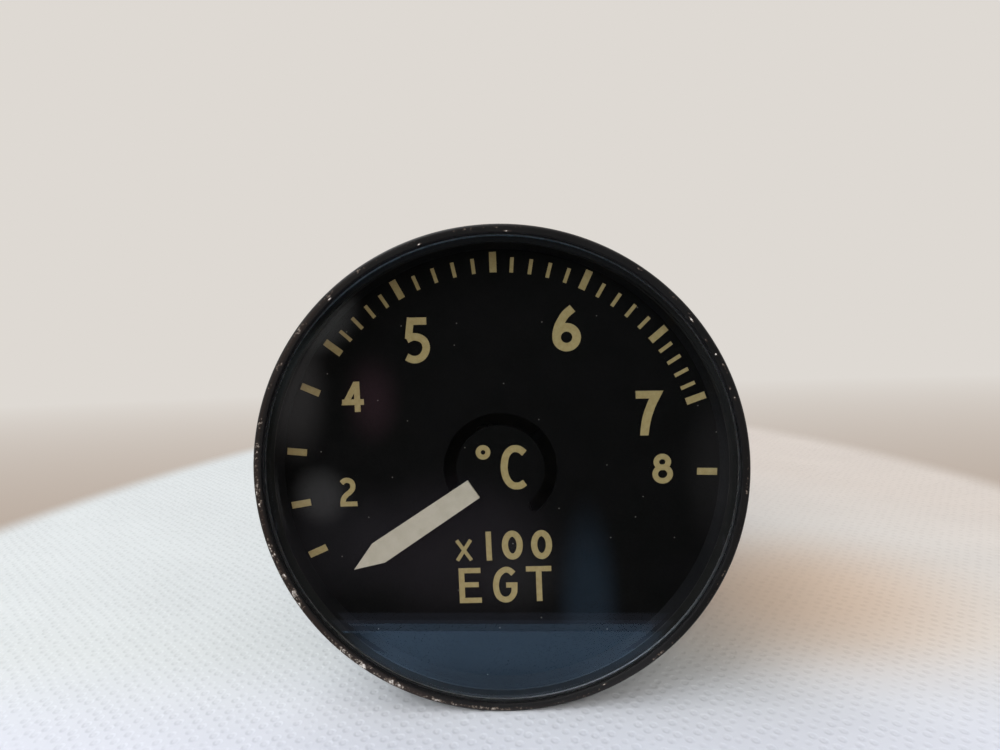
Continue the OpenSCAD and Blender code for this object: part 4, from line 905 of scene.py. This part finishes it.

# %% [markdown]
# ## Its embossed dots
# The cloth is a pressed fleece with small dents in slanting rows. Dents could be modelled, but a
# metre of them is heavy, and they are only a tenth of a millimetre deep. A nearly regular cell
# pattern gives them, with painted shade that makes them slightly darker inside, and a slow noise
# under it gives the soft folds.

# %% Emboss the cloth
DOT_PITCH = 1.45
DOT_DEPTH = 0.14
FOLD_MM = 28
FOLD_H = 3
slanted = add(cloth, "Mapping", {"Rotation": (0, 0, math.radians(38)), "Scale": (1, 0.8, 1)},
              {"Vector": where})
dots = add(cloth, "TexVoronoi", {"Scale": per_mm(DOT_PITCH), "Randomness": 0.34}, {"Vector": slanted})
pressed = add(cloth, "MapRange", between(0.16, 0.42, SMOOTH), {"Value": dots})
# Painted shade: each dent a little darker inside
shade = add(cloth, "MapRange", {"To Min": 0.965, "To Max": 1.0}, {"Value": pressed})
cloth_tint = add(cloth, "VectorMath", "SCALE", {0: cool_light_tint, "Scale": shade})
folds = add(cloth, "TexNoise", {"Scale": per_mm(FOLD_MM), "Detail": 1.5}, {"Vector": where})
emboss = add(cloth, "Bump", {"Strength": 0.4, "Distance": DOT_DEPTH * MM}, {"Height": pressed})
draped = add(cloth, "Bump", {"Strength": 0.5, "Distance": FOLD_H * MM},
             {"Height": folds, "Normal": emboss})
cloth_face = add(cloth, "BsdfPrincipled", {"Roughness": 0.9, "Specular IOR Level": 0.1},
                 {"Base Color": cloth_tint, "Normal": draped})
print("dots", DOT_PITCH, "mm apart, folds", FOLD_MM, "mm apart")

# %% [markdown]
# ## The wall
# Behind stands a pale wall, with painted shade that darkens its foot. A standing wall would be in
# the way of the views from behind, so one wide floor does both: near the gauge it is cloth that
# takes the shadow, and beyond an oval it fades, for rays that see it, into the colour that the world
# shows.

# %% Fade the cloth into the wall
WALL = "#ded9d3"
CLOTH_HALF = (122 * MM, 220 * MM, 1)
FLOOR_HALF = 6000


def any_sight(owner):
    """One for rays that look, straight or by a mirror or through glass, and nought for the rest."""
    ray = add(owner, "LightPath")
    eye_or_mirror = add(owner, "Math", "MAXIMUM",
                        {0: (ray, "Is Camera Ray"), 1: (ray, "Is Glossy Ray")})
    return add(owner, "Math", "MAXIMUM", {0: eye_or_mirror, 1: (ray, "Is Transmission Ray")})


def flat_sheets(name, sheets, material):
    """Four-cornered sheets in one object that belongs to the stage."""
    mesh = bpy.data.meshes.new(name)
    corners = [tuple(v * MM for v in corner) for sheet in sheets for corner in sheet]
    mesh.from_pydata(corners, [], np.arange(len(corners)).reshape(-1, 4).tolist())
    mesh.materials.append(material)
    stage = into_scene(name, mesh)
    print(name, "has", len(sheets), "sheets")
    return stage


behind = add(cloth, "VectorMath", {"operation": "MULTIPLY", 1: (0.33, 1, 0)}, {0: where})
to_wall = add(cloth, "VectorMath", "LENGTH", {"Vector": behind})
# Painted shade: the wall darkens towards its foot, where it meets the cloth
wall_foot_shade = add(cloth, "MapRange", between_mm(84, 300), {"Value": to_wall})
shaded_wall_foot = add(cloth, "Mix", {**COLOURS, UNDER: colour("#bcaea2"), OVER: colour(WALL)}, {0: wall_foot_shade})
wall_face = add(cloth, "Emission", {"Strength": 1.0}, {"Color": shaded_wall_foot})
spread = add(cloth, "VectorMath", {"operation": "DIVIDE", 1: CLOTH_HALF}, {0: where})
reach = add(cloth, "VectorMath", "LENGTH", {"Vector": spread})
far = add(cloth, "MapRange", between(0.96, 1.06, SMOOTH), {"Value": reach})
faded = add(cloth, "Math", "MULTIPLY", {0: any_sight(cloth), 1: far})
floor_face = add(cloth, "MixShader", {}, {0: faded, 1: cloth_face, 2: wall_face})
add(cloth, "OutputMaterial", links={"Surface": floor_face})
flat_sheets("floor", [[(x * FLOOR_HALF, y * FLOOR_HALF, floor_z)
                       for x, y in ((-1, -1), (1, -1), (1, 1), (-1, 1))]], cloth)

# %% [markdown]
# ## What the window mirrors: painted reflections
# Flat glass mirrors the room in front of it, and a black dial behind makes that plain. A glowing
# card close in front, seen by reflections alone, paints those reflections: dark, with a few soft
# paler places that are painted reflections.

# %% Paint the card
CARD_Y = -27.1
CARD_GLOW = 2.0
# Middle x and z, half width and height in mm, softness and colour of each painted reflection
PAINTED_REFLECTIONS = [(-27.6, -8, 5.2, 5.5, 0.8, "#967664"), (-27.5, 19.5, 8, 7.5, 0.5, "#9a7a66"),
               (-30.8, 8.5, 6.2, 13.5, 0.75, "#8a6a59"), (-19, 6, 5, 8, 0.9, "#703c3a"),
               (-25, -15, 12, 11, 0.8, "#4e3a35"), (-8, -16, 19, 13, 0.7, "#604540"),
               (2, -21, 8, 7, 0.8, "#4e3d32"), (11.5, -25, 5.5, 18, 0.8, "#565a5e"),
               (31, -5, 7, 14, 0.8, "#533f35"), (-70, 34, 26, 32, 0.7, "#887b6d"),
               (62, 30, 24, 40, 0.8, "#3c3634"), (0, 52, 60, 24, 0.7, "#4a3e38"),
               (0, -28.6, 160, 1.9, 0.12, "#665656")]
reflection_card = emptied(bpy.data.materials.new("painted_reflection_card"))
on_card = (add(reflection_card, "TexCoord"), "Object")
total = add(reflection_card, "Mix", {**COLOURS, 0: 0.0, UNDER: colour("#030303")})
# Each paler place adds a painted reflection to the card's glow
for x, z, half_w, half_h, softness, tint in PAINTED_REFLECTIONS:
    offset = add(reflection_card, "VectorMath", {"operation": "SUBTRACT", 1: (x * MM, CARD_Y * MM, z * MM)},
                 {0: on_card})
    scaled = add(reflection_card, "VectorMath", {"operation": "DIVIDE", 1: (half_w * MM, 10, half_h * MM)},
                 {0: offset})
    away = add(reflection_card, "VectorMath", "LENGTH", {"Vector": scaled})
    inside = add(reflection_card, "MapRange", between(1.0, 1 - softness, SMOOTH), {"Value": away})
    total = add(reflection_card, "Mix", {**COLOURS, "blend_type": "ADD", OVER: colour(tint)},
                {0: inside, UNDER: total})
glow = add(reflection_card, "Emission", {"Strength": CARD_GLOW}, {"Color": total})
add(reflection_card, "OutputMaterial", links={"Surface": glow})
print(len(PAINTED_REFLECTIONS), "paler places on the card")

# %% [markdown]
# ## Flaps at the card's foot
# Dark flaps on the table, seen in the glass alone, paint shade into its reflection. They fade
# towards the middle, where the cloth itself shows in the glass as a bluish strip, and dim that
# strip a little at the gauge's foot as painted shade for the gauge's own.

# %% Paint the flaps
BARE_HALF = (17, 27)
FOOT_SHADE = (-19, -9)
flap_shade = emptied(bpy.data.materials.new("painted_shade_flap"))
flap_axes = add(flap_shade, "SeparateXYZ", {}, {"Vector": (add(flap_shade, "TexCoord"), "Object")})
off_middle = add(flap_shade, "Math", "ABSOLUTE", {0: (flap_axes, "X")})
beside = add(flap_shade, "MapRange", between_mm(*BARE_HALF, SMOOTH), {"Value": off_middle})
at_foot = add(flap_shade, "MapRange", between_mm(*FOOT_SHADE, {"To Max": 0.45, **SMOOTH}),
              {"Value": (flap_axes, "Y")})
covered = add(flap_shade, "Math", "MAXIMUM", {0: beside, 1: at_foot})
see_through = add(flap_shade, "BsdfTransparent")
# Painted shade, seen only in the glass
dark = add(flap_shade, "Emission", {"Color": colour("#141416"), "Strength": 1.0})
flap_face = add(flap_shade, "MixShader", {}, {0: covered, 1: see_through, 2: dark})
add(flap_shade, "OutputMaterial", links={"Surface": flap_face})
print("flaps leave", 2 * BARE_HALF[0], "mm of cloth bare")

# %% [markdown]
# ## Standing them up
# The card is a little askew, because the pale places lie askew in the picture. Card and flaps are
# plain sheets that neither the camera nor the light of the lamps meets.

# %% Stand up card and flaps
CARD_YAW = 0.048
CARD_HALF = 90
CARD_TOP = 75
FLAP_IN = 16
FLAP_Y = -7
FOOT_Z = floor_z + 0.05
LEFT_Y, RIGHT_Y = CARD_Y - CARD_HALF * CARD_YAW, CARD_Y + CARD_HALF * CARD_YAW
card = flat_sheets("painted_reflection_card", [[(-CARD_HALF, LEFT_Y, FOOT_Z), (CARD_HALF, RIGHT_Y, FOOT_Z),
                                      (CARD_HALF, RIGHT_Y, CARD_TOP), (-CARD_HALF, LEFT_Y, CARD_TOP)]],
                   reflection_card)
flap_edges = [(-CARD_HALF, LEFT_Y), (-FLAP_IN, CARD_Y), (FLAP_IN, CARD_Y), (CARD_HALF, RIGHT_Y)]
flaps = flat_sheets("painted_shade_flaps",
                    [[(x0, y0, FOOT_Z), (x1, y1, FOOT_Z), (x1, FLAP_Y, FOOT_Z), (x0, FLAP_Y, FOOT_Z)]
                     for (x0, y0), (x1, y1) in zip(flap_edges, flap_edges[1:])], flap_shade)
for mirrored in (card, flaps):
    for ray in ("camera", "diffuse", "shadow", "volume_scatter"):
        setattr(mirrored, "visible_" + ray, False)

# %% [markdown]
# ## Light
# A window at the left and a pale room all round. Five large square lamps give their soft light; the
# world shows the wall to rays that look and a weaker, bluish air to the rest, so that black paint
# and cream ink keep the colours that they are written in.

# %% Light it
AIR_STRENGTH = 0.38
# Name, place, target and size in metres, power in watts and colour
LAMPS = [("window_light", (-0.42, -0.42, 0.5), (0, 0, 0), 0.5, 3.1, "#f7faff"),
         ("room_light", (0.45, -0.42, 0.5), (0, 0.02, 0), 0.6, 0.9, "#fff0e0"),
         ("front_light", (0.0, -0.8, 0.3), (0, 0, 0), 0.6, 3.4, "#fffaf2"),
         ("top_light", (-0.35, 0.12, 0.72), (0, 0.02, -0.02), 0.6, 2.8, "#fbfbff"),
         ("back_light", (0.1, 0.7, 0.7), (0, 0.04, 0), 0.6, 1.4, "#fff6ee")]
world = emptied(bpy.data.worlds.new("pale_room"))
bpy.context.scene.world = world
wall = add(world, "Background", {"Color": colour(WALL), "Strength": 1.0})
air = add(world, "Background", {"Color": colour("#dfe0e4"), "Strength": AIR_STRENGTH})
shown = add(world, "MixShader", {}, {0: any_sight(world), 1: air, 2: wall})
add(world, "OutputWorld", links={"Surface": shown})
for name, place, target, size, power, tint in LAMPS:
    data = bpy.data.lights.new(name, "AREA")
    data.size = size
    data.energy = power
    data.color = colour(tint)[:3]
    lamp = into_scene(name, data)
    lamp.location = place
    lamp.rotation_euler = (Vector(target) - Vector(place)).to_track_quat("-Z", "Y").to_euler()
bpy.context.scene.view_settings.view_transform = "Standard"
print(len(LAMPS), "lamps")
